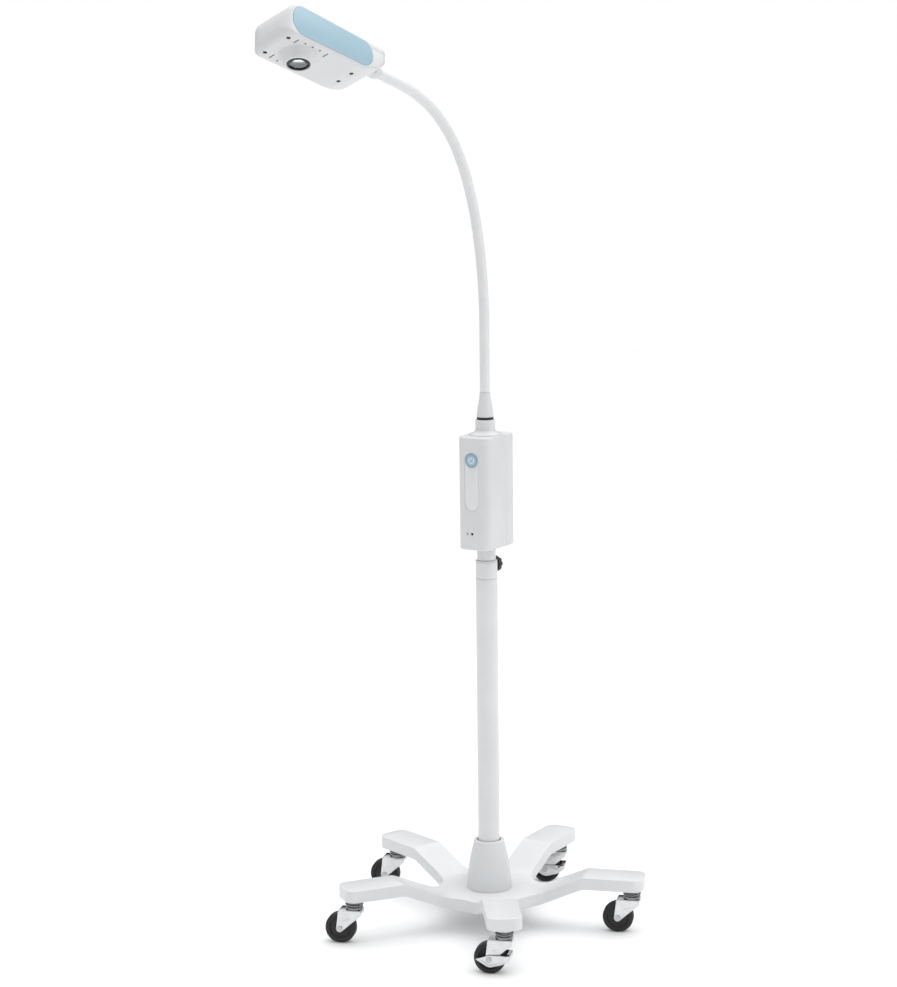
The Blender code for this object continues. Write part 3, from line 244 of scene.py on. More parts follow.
# Shader groups
def shaderGroup(name, inputs, outputs):
    group = bpy.data.node_groups.new(name, "ShaderNodeTree")
    for label, kind, value in inputs:
        socket = group.interface.new_socket(label, in_out="INPUT", socket_type=kind)
        socket.default_value = value
    for label, kind in outputs:
        group.interface.new_socket(label, in_out="OUTPUT", socket_type=kind)
    return group, group.nodes.new("NodeGroupInput"), group.nodes.new("NodeGroupOutput")


def addNode(tree, kind, settings=None, **values):
    node = tree.nodes.new(kind)
    for key, value in (settings or {}).items():
        setattr(node, key, value)
    for label, value in values.items():
        socket = node.inputs[int(label[1:]) if label[1:].isdigit() else label.replace("_", " ")]
        if isinstance(value, bpy.types.NodeSocket):
            tree.links.new(value, socket)
        else:
            socket.default_value = value
    return node


def mathNode(tree, operation, first, second=0.5):
    return addNode(tree, "ShaderNodeMath", {"operation": operation}, i0=first, i1=second).outputs[0]


def mouldGrain():
    group, given, result = shaderGroup(
        "mouldGrain",
        [("Scale", "NodeSocketFloat", 800.0), ("Coarse Share", "NodeSocketFloat", 0.3)],
        [("Height", "NodeSocketFloat")],
    )
    place = addNode(group, "ShaderNodeTexCoord").outputs["Object"]
    fine = addNode(
        group, "ShaderNodeTexNoise", Vector=place, Scale=given.outputs["Scale"], Detail=3.0
    )
    wide = mathNode(group, "MULTIPLY", given.outputs["Scale"], 0.12)
    coarse = addNode(group, "ShaderNodeTexNoise", Vector=place, Scale=wide, Detail=2.0)
    blend = addNode(
        group,
        "ShaderNodeMix",
        {"data_type": "FLOAT"},
        i0=given.outputs["Coarse Share"],
        i2=fine.outputs["Fac"],
        i3=coarse.outputs["Fac"],
    )
    group.links.new(blend.outputs[0], result.inputs["Height"])
    return group


def toneDrift():
    group, given, result = shaderGroup(
        "toneDrift",
        [
            ("Colour", "NodeSocketColor", (0.8, 0.8, 0.8, 1)),
            ("Worn Colour", "NodeSocketColor", (0.7, 0.7, 0.7, 1)),
            ("Amount", "NodeSocketFloat", 0.2),
            ("Scale", "NodeSocketFloat", 14.0),
        ],
        [("Colour", "NodeSocketColor")],
    )
    place = addNode(group, "ShaderNodeTexCoord").outputs["Object"]
    cloud = addNode(
        group, "ShaderNodeTexNoise", Vector=place, Scale=given.outputs["Scale"], Detail=4.0
    )
    spread = addNode(
        group, "ShaderNodeMapRange", Value=cloud.outputs["Fac"], From_Min=0.35, From_Max=0.7
    )
    share = mathNode(group, "MULTIPLY", spread.outputs[0], given.outputs["Amount"])
    mix = addNode(group, "ShaderNodeMix", {"data_type": "RGBA"}, i0=share)
    group.links.new(given.outputs["Colour"], mix.inputs[6])
    group.links.new(given.outputs["Worn Colour"], mix.inputs[7])
    group.links.new(mix.outputs[2], result.inputs["Colour"])
    return group


def handlingMarks():
    group, given, result = shaderGroup(
        "handlingMarks",
        [
            ("Roughness", "NodeSocketFloat", 0.4),
            ("Amount", "NodeSocketFloat", 0.1),
            ("Scale", "NodeSocketFloat", 30.0),
        ],
        [("Roughness", "NodeSocketFloat")],
    )
    place = addNode(group, "ShaderNodeTexCoord").outputs["Object"]
    smears = addNode(
        group, "ShaderNodeTexNoise", Vector=place, Scale=given.outputs["Scale"], Detail=6.0,
        Distortion=0.8,
    )
    centred = mathNode(group, "SUBTRACT", smears.outputs["Fac"], 0.5)
    change = addNode(
        group,
        "ShaderNodeMath",
        {"operation": "MULTIPLY_ADD", "use_clamp": True},
        i0=centred,
        i1=given.outputs["Amount"],
        i2=given.outputs["Roughness"],
    )
    group.links.new(change.outputs[0], result.inputs["Roughness"])
    return group


effects = {"grain": mouldGrain(), "tone": toneDrift(), "marks": handlingMarks()}


# Finishes: slot, colour, worn colour, roughness, grain scale and grain depth, then any extras
def finishRow(slot, colour, worn, roughness, grainScale, grainDepth, **more):
    row = {"slot": slot, "colour": colour, "worn": worn, "roughness": roughness}
    return {**row, "grainScale": grainScale, "grainDepth": grainDepth, **more}


finishLooks = {
    "whitePaint": finishRow(
        "white_paint", (0.665, 0.675, 0.685), (0.60, 0.605, 0.61), 0.38, 620, 0.00007, coat=0.25
    ),
    "whitePlastic": finishRow(
        "white_plastic", (0.635, 0.645, 0.655), (0.59, 0.595, 0.60), 0.42, 1500, 0.00008
    ),
    "touchStrip": finishRow(
        "white_plastic", (0.68, 0.69, 0.70), (0.63, 0.64, 0.65), 0.33, 900, 0.00004, coat=0.3
    ),
    "sleeveSkin": finishRow(
        "sleeve", (0.69, 0.695, 0.70), (0.64, 0.645, 0.65), 0.48, 1200, 0.00003, toneScale=40
    ),
    "bluePlastic": finishRow(
        "blue_plastic", (0.315, 0.465, 0.55), (0.29, 0.43, 0.515), 0.33, 1300, 0.00006, coat=0.2
    ),
    "ringBlue": finishRow(
        "blue_plastic", (0.30, 0.43, 0.48), (0.27, 0.39, 0.44), 0.35, 1300, 0.00005
    ),
    "blackPlastic": finishRow(
        "black_plastic", (0.012, 0.012, 0.013), (0.03, 0.03, 0.03), 0.36, 1400, 0.00008
    ),
    "blackRubber": finishRow(
        "black_rubber", (0.013, 0.013, 0.014), (0.035, 0.035, 0.034), 0.6, 900, 0.00015
    ),
    "tyreRubber": finishRow(
        "tyre_rubber", (0.006, 0.006, 0.0065), (0.018, 0.0175, 0.0165), 0.55, 700, 0.00018,
        toneScale=60, marks=0.3,
    ),
    "chromePlate": finishRow(
        "chrome", (0.66, 0.67, 0.68), (0.50, 0.50, 0.505), 0.08, 260, 0.00010, metallic=1.0,
        toneScale=90, marks=0.12,
    ),
    # painted shade: a darker copy of the chrome finish for the caster cups, standing in for the dark
    # reflections and shade they show
    "chromeWithPaintedShade": finishRow(
        "chrome", (0.24, 0.24, 0.245), (0.12, 0.12, 0.12), 0.14, 260, 0.00012, metallic=1.0,
        toneScale=120, marks=0.15,
    ),
    "bareSteel": finishRow(
        "steel", (0.52, 0.53, 0.54), (0.40, 0.40, 0.40), 0.3, 900, 0.0001, metallic=1.0, marks=0.25
    ),
    "bareAluminium": finishRow(
        "aluminium", (0.72, 0.73, 0.74), (0.60, 0.60, 0.61), 0.35, 1100, 0.00012, metallic=1.0,
        marks=0.2,
    ),
    "printGrey": finishRow(
        "black_plastic", (0.045, 0.045, 0.05), (0.08, 0.08, 0.085), 0.5, 1500, 0.00003
    ),
    "printPale": finishRow(
        "white_plastic", (0.80, 0.86, 0.89), (0.74, 0.80, 0.83), 0.45, 1500, 0.00003
    ),
}


def startMaterial(name):
    made = bpy.data.materials.new(name)
    made.use_nodes = True
    return made, made.node_tree, made.node_tree.nodes["Principled BSDF"]


def useGroup(tree, group, values):
    node = tree.nodes.new("ShaderNodeGroup")
    node.node_tree = group
    for label, value in values.items():
        node.inputs[label].default_value = value
    return node


def addSurface(tree, shader, look):
    tone = useGroup(
        tree,
        effects["tone"],
        {
            "Colour": (*look["colour"], 1),
            "Worn Colour": (*look["worn"], 1),
            "Amount": look.get("tone", 0.5),
            "Scale": look.get("toneScale", 16),
        },
    )
    marks = useGroup(
        tree, effects["marks"], {"Roughness": look["roughness"], "Amount": look.get("marks", 0.14)}
    )
    grain = useGroup(tree, effects["grain"], {"Scale": look["grainScale"]})
    bump = addNode(
        tree, "ShaderNodeBump", Height=grain.outputs["Height"], Distance=look["grainDepth"],
        Strength=0.6,
    )
    tree.links.new(marks.outputs["Roughness"], shader.inputs["Roughness"])
    tree.links.new(bump.outputs["Normal"], shader.inputs["Normal"])
    return tone.outputs["Colour"]


def makeFinish(name, look):
    made, tree, shader = startMaterial(name)
    tree.links.new(addSurface(tree, shader, look), shader.inputs["Base Color"])
    shader.inputs["Metallic"].default_value = look.get("metallic", 0.0)
    shader.inputs["Coat Weight"].default_value = look.get("coat", 0.0)
    shader.inputs["Coat Roughness"].default_value = 0.15
    return made


def lensGlass():
    made, tree, shader = startMaterial("lensGlass")
    shader.inputs["Base Color"].default_value = (0.93, 0.97, 1.0, 1)
    shader.inputs["Transmission Weight"].default_value = 1.0
    shader.inputs["IOR"].default_value = 1.5
    marks = useGroup(tree, effects["marks"], {"Roughness": 0.02, "Amount": 0.02, "Scale": 60})
    grain = useGroup(tree, effects["grain"], {"Scale": 120})
    bump = addNode(
        tree, "ShaderNodeBump", Height=grain.outputs["Height"], Distance=0.000004, Strength=0.2
    )
    tree.links.new(marks.outputs["Roughness"], shader.inputs["Roughness"])
    tree.links.new(bump.outputs["Normal"], shader.inputs["Normal"])
    return made


spottedLooks = {
    "circuitBoard": finishRow(
        "circuit_board", (0.015, 0.16, 0.06), (0.01, 0.11, 0.045), 0.35, 900, 0.00005,
        cells="MANHATTAN", cellScale=240.0, randomness=1.0, spotSize=0.28, spots=(0.6, 0.6, 0.58),
        tinned=True,
    ),
    "ledArray": finishRow(
        "led", (0.03, 0.03, 0.03), (0.02, 0.02, 0.02), 0.25, 700, 0.00005, cells="EUCLIDEAN",
        cellScale=420.0, randomness=0.15, spotSize=0.32, spots=(0.30, 0.26, 0.08), tinned=False,
    ),
}


def spottedFinish(name, look):
    made, tree, shader = startMaterial(name)
    ground = addSurface(tree, shader, look)
    place = addNode(tree, "ShaderNodeTexCoord").outputs["Object"]
    cells = addNode(
        tree, "ShaderNodeTexVoronoi", {"distance": look["cells"]}, Vector=place,
        Scale=look["cellScale"], Randomness=look["randomness"],
    )
    spots = mathNode(tree, "LESS_THAN", cells.outputs["Distance"], look["spotSize"])
    mix = addNode(tree, "ShaderNodeMix", {"data_type": "RGBA"}, i0=spots)
    tree.links.new(ground, mix.inputs[6])
    mix.inputs[7].default_value = (*look["spots"], 1)
    tree.links.new(mix.outputs[2], shader.inputs["Base Color"])
    if look["tinned"]:
        tree.links.new(spots, shader.inputs["Metallic"])
    return made


finishes = {name: makeFinish(name, look) for name, look in finishLooks.items()}
finishes["lensGlass"] = lensGlass()
finishes.update({name: spottedFinish(name, look) for name, look in spottedLooks.items()})
slotOf = {name: look["slot"] for name, look in {**finishLooks, **spottedLooks}.items()}
slotOf["lensGlass"] = "lens_glass"
cadFinish = {slot: name for name, slot in reversed(list(slotOf.items()))}
for node in frame["nodes"].values():
    cadSlot = node.data.materials[0].name.split(".")[0]
    node.data.materials[0] = finishes[cadFinish[cadSlot]]
print("finishes made")


def makePiece(name, mesh, finish, body, nodes=(), place=onColumn, sharp=32):
    mesh.transform(place)
    mesh.materials.clear()
    mesh.materials.append(finishes[finish])
    mesh.shade_smooth()
    mesh.set_sharp_from_angle(angle=math.radians(sharp))
    piece = standIn(name, mesh)
    piece.data.name = name
    if body:
        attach(piece, body)
    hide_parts(*nodes)
    return piece


# Geometry node trees
def geometryTree(name, inputs):
    tree = bpy.data.node_groups.new(name, "GeometryNodeTree")
    tree.interface.new_socket("Geometry", in_out="INPUT", socket_type="NodeSocketGeometry")
    for label, kind in inputs:
        tree.interface.new_socket(label, in_out="INPUT", socket_type=kind)
    tree.interface.new_socket("Geometry", in_out="OUTPUT", socket_type="NodeSocketGeometry")
    return tree, tree.nodes.new("NodeGroupInput"), tree.nodes.new("NodeGroupOutput")


def closeTree(tree, given, result, geometry):
    real = addNode(tree, "GeometryNodeRealizeInstances", Geometry=geometry)
    painted = addNode(
        tree, "GeometryNodeSetMaterial", Geometry=real.outputs[0], Material=given.outputs["Material"]
    )
    tree.links.new(painted.outputs[0], result.inputs["Geometry"])
    return tree


def runTree(thing, tree, values):
    change = thing.modifiers.new(tree.name, "NODES")
    change.node_group = tree
    for item in tree.interface.items_tree:
        if item.item_type == "SOCKET" and item.in_out == "INPUT" and item.name in values:
            change[item.identifier] = values[item.name]
    return settle(thing)


def ribbedTree():
    tree, given, result = geometryTree(
        "ribbedSleeve",
        [
            ("Radius", "NodeSocketFloat"),
            ("Rib Depth", "NodeSocketFloat"),
            ("Rib Spacing", "NodeSocketFloat"),
            ("First Rib", "NodeSocketFloat"),
            ("Sides", "NodeSocketInt"),
            ("Material", "NodeSocketMaterial"),
        ],
    )
    step = mathNode(tree, "DIVIDE", given.outputs["Rib Spacing"], 6.0)
    line = addNode(
        tree, "GeometryNodeResampleCurve", {"mode": "LENGTH"}, Curve=given.outputs["Geometry"]
    )
    tree.links.new(step, line.inputs["Length"])
    along = addNode(tree, "GeometryNodeSplineParameter")
    shifted = mathNode(tree, "ADD", along.outputs["Length"], given.outputs["First Rib"])
    cycles = mathNode(tree, "DIVIDE", shifted, given.outputs["Rib Spacing"])
    turns = mathNode(tree, "MULTIPLY", cycles, 2 * math.pi)
    wave = mathNode(tree, "COSINE", turns)
    low = mathNode(tree, "SUBTRACT", wave, 1.0)
    dip = mathNode(tree, "MULTIPLY", low, given.outputs["Rib Depth"])
    halfDip = mathNode(tree, "MULTIPLY", dip, 0.5)
    size = mathNode(tree, "ADD", given.outputs["Radius"], halfDip)
    ring = addNode(
        tree, "GeometryNodeCurvePrimitiveCircle", Resolution=given.outputs["Sides"], Radius=1.0
    )
    tube = addNode(
        tree, "GeometryNodeCurveToMesh", Curve=line.outputs[0], Profile_Curve=ring.outputs[0],
        Fill_Caps=True,
    )
    tree.links.new(size, tube.inputs["Scale"])
    smooth = addNode(tree, "GeometryNodeSetShadeSmooth", Geometry=tube.outputs[0])
    return closeTree(tree, given, result, smooth.outputs[0])


def fittingsTree():
    tree, given, result = geometryTree(
        "fittingsOnPoints",
        [
            ("Fitting", "NodeSocketObject"), ("Size", "NodeSocketFloat"),
            ("Material", "NodeSocketMaterial"),
        ],
    )
    facing = addNode(
        tree, "GeometryNodeInputNamedAttribute", {"data_type": "FLOAT_VECTOR"}, Name="facing"
    )
    along = addNode(
        tree, "GeometryNodeInputNamedAttribute", {"data_type": "FLOAT_VECTOR"}, Name="along"
    )
    up = addNode(tree, "FunctionNodeAlignRotationToVector", {"axis": "Z"}, Vector=facing.outputs[0])
    turned = addNode(
        tree,
        "FunctionNodeAlignRotationToVector",
        {"axis": "X", "pivot_axis": "Z"},
        Rotation=up.outputs[0],
        Vector=along.outputs[0],
    )
    shape = addNode(tree, "GeometryNodeObjectInfo", Object=given.outputs["Fitting"])
    spots = addNode(
        tree,
        "GeometryNodeInstanceOnPoints",
        Points=given.outputs["Geometry"],
        Instance=shape.outputs["Geometry"],
        Rotation=turned.outputs[0],
    )
    tree.links.new(given.outputs["Size"], spots.inputs["Scale"])
    return closeTree(tree, given, result, spots.outputs[0])


trees = {"ribbed": ribbedTree(), "fittings": fittingsTree()}


def setOnPoints(name, fitting, spots, facing, along, finish, body, place=onColumn, sharp=32):
    points = bpy.data.meshes.new(name)
    points.from_pydata([place @ Vector(spot) for spot in spots], [], [])
    for label, value in (("facing", facing), ("along", along)):
        turned = place.to_3x3() @ Vector(value)
        points.attributes.new(label, "FLOAT_VECTOR", "POINT").data.foreach_set(
            "vector", list(turned) * len(spots)
        )
    shape = standIn("fitting", fitting)
    values = {"Fitting": shape, "Size": 1.0, "Material": finishes[finish]}
    mesh = runTree(standIn(name, points), trees["fittings"], values)
    bpy.data.objects.remove(shape)
    return makePiece(name, mesh, finish, body, place=Matrix.Identity(4), sharp=sharp)


print("node trees made")

# Star base
baseSizes = {
    "legs": 5,
    "firstLeg": -54,
    "casterCircle": 0.240,
    "halfWidth": 0.028,
    "thickness": 0.0195,
    "tipReach": 0.0205,
    "tipCorner": 0.016,
    "drop": 0.0332,
    "rampFoot": 0.086,
    "rampFootEase": 0.014,
    "rampTop": 0.162,
    "rampTopEase": 0.006,
    "fillet": 0.048,
    "edge": 0.003,
    "bossRadius": 0.0155,
    "bossDrop": 0.021,
    "bossOverlap": 0.004,
}
legTop = heights("star_base")[1]
hubTop = legTop - baseSizes["drop"]


def easedBend(x, ease):
    if x <= -ease:
        return 0.0
    if x >= ease:
        return x
    return (x + ease) ** 2 / (4 * ease)


def legHeight(u, sizes):
    rise = easedBend(u - sizes["rampFoot"], sizes["rampFootEase"]) - easedBend(
        u - sizes["rampTop"], sizes["rampTopEase"]
    )
    return hubTop + sizes["drop"] * rise / (sizes["rampTop"] - sizes["rampFoot"])


def legStations(sizes):
    halfTurn = math.pi / sizes["legs"]
    half, fillet = sizes["halfWidth"], sizes["fillet"]
    filletU = (half + fillet) / math.tan(halfTurn)
    stations = []
    for k in range(13):
        turn = math.pi + halfTurn + (math.pi / 2 - halfTurn) * k / 12
        stations.append(
            (filletU + fillet * math.cos(turn), half + fillet + fillet * math.sin(turn))
        )
    bendStart = sizes["rampTop"] - sizes["rampTopEase"]
    for share in np.linspace(0.2, 1, 5):
        stations.append((filletU + (bendStart - filletU) * float(share), half))
    for share in np.linspace(0.2, 1, 5):
        stations.append((bendStart + 2 * sizes["rampTopEase"] * float(share), half))
    tip = sizes["casterCircle"] + sizes["tipReach"]
    corner = sizes["tipCorner"]
    for k in range(13):
        turn = math.pi / 2 * k / 12
        stations.append(
            (tip - corner + corner * math.sin(turn), half - corner + corner * math.cos(turn))
        )
    return stations


def legAngle(i, sizes):
    return math.radians(sizes["firstLeg"] + 360 / sizes["legs"] * i)


def starShape(sizes):
    shape = bmesh.new()
    stations = legStations(sizes)
    halfTurn = math.pi / sizes["legs"]

    def pair(turn, radius, height):
        x, y = radius * math.cos(turn), radius * math.sin(turn)
        return shape.verts.new((x, y, height)), shape.verts.new((x, y, height - sizes["thickness"]))

    cornerRadius = math.hypot(*stations[0])
    valleyHeight = legHeight(stations[0][0], sizes)
    valleys = [
        pair(legAngle(i, sizes) + halfTurn, cornerRadius, valleyHeight)
        for i in range(sizes["legs"])
    ]
    for level in (0, 1):
        shape.faces.new([both[level] for both in valleys])
    for i in range(sizes["legs"]):
        rows = [(valleys[i - 1], valleys[i])]
        for u, v in stations[1:]:
            height = legHeight(u, sizes)
            turn = legAngle(i, sizes)
            rows.append(
                tuple(
                    pair(turn + math.atan2(side, u), math.hypot(u, side), height)
                    for side in (-v, v)
                )
            )
        for (left, right), (farLeft, farRight) in zip(rows, rows[1:]):
            shape.faces.new((left[0], right[0], farRight[0], farLeft[0]))
            shape.faces.new((left[1], farLeft[1], farRight[1], right[1]))
            shape.faces.new((left[0], farLeft[0], farLeft[1], left[1]))
            shape.faces.new((right[0], right[1], farRight[1], farRight[0]))
        left, right = rows[-1]
        shape.faces.new((left[0], right[0], right[1], left[1]))
    bmesh.ops.recalc_face_normals(shape, faces=shape.faces)
    return meshFrom(shape, "star")


makePiece(
    "base_star", easeEdges(starShape(baseSizes), baseSizes["edge"], 4), "whitePaint", "stand",
    ("star_base",),
)
bossFoot = heights("caster_stem_1")[1] - baseSizes["bossDrop"] + clearance
bossTop = legTop - baseSizes["thickness"] + baseSizes["bossOverlap"]
bossRadius = baseSizes["bossRadius"]
bossProfile = [
    (0, bossFoot), (bossRadius - 0.0007, bossFoot), (bossRadius, bossFoot + 0.0007),
    (bossRadius, bossTop), (0, bossTop),
]
boss = lathe("boss", bossProfile)
toLegs = [
    Matrix.Rotation(legAngle(i, baseSizes), 4, "Z") @ Matrix.Translation(
        (baseSizes["casterCircle"], 0, 0)
    )
    for i in range(baseSizes["legs"])
]
makePiece("leg_bosses", gather("bosses", [boss] * 5, toLegs), "whitePaint", "stand")
print("base made")

# Casters
casterSizes = {
    "trailDirection": 200,
    "braked": (1, 3),
    "trail": 0.0227,
    "wheelRadius": 0.0254,
    "wheelWidth": 0.019,
    "forkInner": 0.0112,
    "forkPlate": 0.002,
    "forkTop": 0.0025,
    "forkFront": 0.0135,
    "forkRear": 0.0255,
    "forkSkirt": 0.008,
    "forkEye": 0.006,
    "cupRadius": 0.015,
    "cupHeight": 0.0130,
    "pedalPlate": 0.0014,
    "pedalReach": 0.034,
    "pedalHalf": 0.022,
    "pedalEyeTop": 0.0075,
    "pedalEyeBottom": 0.0135,
    "pedalBar": 0.007,
    "pedalGap": 0.0006,
    "dentSpan": (-0.002, 0.0165),
    "dentBelowTop": 0.0095,
    "dentFoot": 0.0385,
    "dentDepth": 0.0004,
}
forkCrown = heights("caster_fork_1")[1]


def arcPoints(centre, radius, first, last, steps=14):
    turns = [math.radians(first + (last - first) * i / steps) for i in range(steps + 1)]
    return [(centre[0] + radius * math.cos(t), centre[1] + radius * math.sin(t)) for t in turns]


def touchAngle(centre, radius, point, side):
    reach = Vector(point) - Vector(centre)
    return math.degrees(math.atan2(reach.y, reach.x) + side * math.acos(radius / reach.length))


def forkShape(sizes):
    centre = (sizes["trail"], sizes["wheelRadius"])
    lowCorner = (-sizes["forkFront"], forkCrown - sizes["forkSkirt"])
    highCorner = (sizes["forkRear"], forkCrown)
    first = touchAngle(centre, sizes["forkEye"], highCorner, -1)
    last = touchAngle(centre, sizes["forkEye"], lowCorner, 1) - 360
    corners = [lowCorner, (-sizes["forkFront"], forkCrown), highCorner]
    rounded = roundCorners(corners + [centre], [0.002, 0.003, 0.003, 0], 5)[:-1]
    side = rounded + arcPoints(centre, sizes["forkEye"], first, last)
    outer = sizes["forkInner"] + sizes["forkPlate"]
    body = easeEdges(plate("fork", side, -outer, outer), 0.0012, 3)
    low = (-0.1, -sizes["forkInner"], -0.05)
    inside = box3("inside", low, (0.1, sizes["forkInner"], forkCrown - sizes["forkTop"]))
    (near, far), top = sizes["dentSpan"], forkCrown - sizes["dentBelowTop"]
    window = roundCorners([(near, top), (far, top), (far, sizes["dentFoot"])], [0.0015] * 3, 4)
    dent = plate("dent", window, outer - sizes["dentDepth"], outer + 0.01)
    otherDent = plate("otherDent", window, -outer - 0.01, -outer + sizes["dentDepth"])
    return carve(body, [inside, dent, otherDent])


def cupShape(sizes):
    radius, height = sizes["cupRadius"], sizes["cupHeight"]
    seat = forkCrown + clearance
    shares = [
        (0.80, 0), (0.93, 0.04), (0.96, 0.12), (0.93, 0.40), (0.90, 0.47), (0.94, 0.52),
        (1.0, 0.58), (1.0, 0.64),
    ]
    shares += [(0.975, 0.76), (0.93, 0.88), (0.84, 0.97), (0.78, 1.0)]
    profile = [(0, seat)] + [(radius * r, seat + height * h) for r, h in shares] + [
        (0, seat + height)
    ]
    return lathe("cup", profile)


def wheelShape(sizes):
    radius, half = sizes["wheelRadius"], sizes["wheelWidth"] / 2
    side = [
        (0.0031, half - 0.0016),
        (0.0062, half - 0.0016),
        (0.0068, half - 0.0006),
        (0.0080, half - 0.0006),
        (0.0088, half - 0.0022),
        (0.0165, half - 0.0022),
        (0.0176, half - 0.0004),
        (0.0182, half),
        (radius - 0.0034, half),
        (radius - 0.0017, half - 0.0006),
        (radius - 0.0006, half - 0.0018),
        (radius, half - 0.0040),
    ]
    profile = side + [(r, -z) for r, z in reversed(side)]
    return lyingAlongY(lathe("wheel", profile, 72, True), sizes["trail"], 0, radius)


def pedalShape(sizes):
    trail, radius, bar = sizes["trail"], sizes["wheelRadius"], sizes["pedalBar"]
    outer = sizes["forkInner"] + sizes["forkPlate"] + sizes["pedalGap"] + sizes["pedalPlate"]
    barX = trail - sizes["pedalReach"]
    barLow = radius + bar * 0.1
    corners = [
        (trail + sizes["pedalHalf"], radius),
        (trail, radius + sizes["pedalEyeTop"]),
        (barX + bar, barLow + bar),
        (barX, barLow + bar),
        (barX, barLow),
        (trail - sizes["pedalHalf"], radius - sizes["pedalEyeTop"]),
        (trail, radius - sizes["pedalEyeBottom"]),
    ]
    side = roundCorners(
        corners,
        [0.001, sizes["pedalEyeTop"], 0.001, 0.0015, 0.001, 0.001, sizes["pedalEyeBottom"]], 6,
    )
    body = easeEdges(plate("pedal", side, -outer, outer), 0.0005, 2)
    inner = outer - sizes["pedalPlate"]
    inside = box3("inside", (barX + bar * 0.8, -inner, 0), (0.1, inner, 0.1))
    middle = Vector((trail - 0.001, radius - 0.002))
    raised = [
        tuple(middle + (Vector(point) - middle) * 0.62)
        for point in side if point[0] > trail - 0.024
    ]
    dents = [plate("dent", raised, s * outer - 0.0005, s * outer + 0.0005) for s in (-1, 1)]
    return carve(body, [inside] + dents)


fork, cup, wheel, pedal = (
    make(casterSizes) for make in (forkShape, cupShape, wheelShape, pedalShape)
)
rivetProfile = [
    (0, -0.0022), (0.0031, -0.0022), (0.0031, -0.0003), (0.0050, -0.0003), (0.0050, 0.0002),
    (0.0042, 0.0009), (0.0022, 0.0013), (0, 0.0014),
]
cupMoves = []
for number in range(1, 6):
    spot = joints[f"caster_swivel_{number}"]["pos_m"]
    swivel = Matrix.Translation((spot[0], spot[1], 0)) @ Matrix.Rotation(
        math.radians(casterSizes["trailDirection"]), 4, "Z"
    )
    cupMoves.append(swivel)
    makePiece(
        f"fork_{number}", fork.copy(), "chromePlate", f"caster_{number}",
        (f"caster_fork_{number}",), swivel,
    )
    makePiece(
        f"wheel_rim_{number}", wheel.copy(), "tyreRubber", f"wheel_{number}",
        (f"caster_wheel_{number}",), swivel,
    )
    grip = casterSizes["forkInner"] + casterSizes["forkPlate"]
    if number in casterSizes["braked"]:
        grip += casterSizes["pedalGap"] + casterSizes["pedalPlate"]
        makePiece(
            f"pedal_plate_{number}", pedal.copy(), "chromePlate", f"pedal_{number}",
            (f"brake_pedal_{number}",), swivel,
        )
    for label, side in (("left", 1), ("right", -1)):
        hub = (casterSizes["trail"], side * (grip + clearance), casterSizes["wheelRadius"])
        shape = lathe("rivet", rivetProfile, 32)
        body = f"caster_{number}"
        setOnPoints(
            f"axle_rivet_{number}_{label}", shape, [hub], (0, side, 0), (1, 0, 0), "bareSteel",
            body, swivel,
        )
stems = tuple(f"caster_stem_{number}" for number in range(1, 6))
# the caster cups use the darker chrome with painted shade
makePiece(
    "caster_cups", gather("cups", [cup] * 5, cupMoves), "chromeWithPaintedShade", "stand", stems,
    Matrix.Identity(4),
)
print("casters made")

# Column, shroud and clamp
columnSizes = {
    "tube": 0.0178,
    "shroudFoot": 0.037,
    "shroudTop": 0.0250,
    "shroudHeight": 0.082,
    "shroudBulge": 0.0024,
    "knobRadius": 0.014,
    "knobDepth": 0.014,
    "knobStart": 0.0034,
    "knobLobes": 9,
    "lobeDepth": 0.10,
    "studReach": 0.0087,
    "collarBore": 0.0112,
    "plugRadius": 0.0153,
    "plugDepth": 0.0250,
}


def shroudShape(sizes):
    foot = hubTop + clearance
    height = sizes["shroudHeight"]
    outside = []
    for k in range(13):
        share = k / 12
        bulge = sizes["shroudBulge"] * math.sin(math.pi * share)
        radius = sizes["shroudFoot"] + (sizes["shroudTop"] - sizes["shroudFoot"]) * share + bulge
        outside.append((radius, foot + (height - 0.0022) * share))
    top = sizes["shroudTop"]
    lip = [
        (top - 0.0003, foot + height - 0.0010), (top - 0.0012, foot + height - 0.0002),
        (top - 0.0022, foot + height),
    ]
    throat = sizes["tube"] + 0.0017
    lip += [
        (throat + 0.0008, foot + height), (throat, foot + height - 0.0008),
        (throat, foot + height - 0.006),
    ]
    inside = [(radius - 0.0025, z) for radius, z in reversed(outside[:-2])]
    return lathe("shroud", outside + lip + inside, 96, True)


def tubeShape(sizes):
    low, high = heights("column_tube")
    radius, inner = sizes["tube"], sizes["tube"] - 0.002
    profile = [
        (radius, low), (radius, high - 0.0004), (radius - 0.0004, high), (inner, high), (inner, low)
    ]
    return lathe("tube", profile, 96, True)


def collarShape(sizes):
    low, high = heights("column_tube")[1] + clearance, heights("column_collar")[1]
    radius, bore, plug = sizes["tube"], sizes["collarBore"], sizes["plugRadius"]
    profile = [
        (radius - 0.0005, low),
        (radius, low + 0.0005),
        (radius, high - 0.0030),
        (radius - 0.0008, high - 0.0026),
        (radius - 0.0008, high - 0.0019),
        (radius, high - 0.0015),
        (radius, high - 0.0008),
        (radius - 0.0008, high),
        (bore, high),
        (bore, low - sizes["plugDepth"] + 0.0005),
        (plug, low - sizes["plugDepth"]),
        (plug, low),
    ]
    return lathe("collar", profile, 96, True)


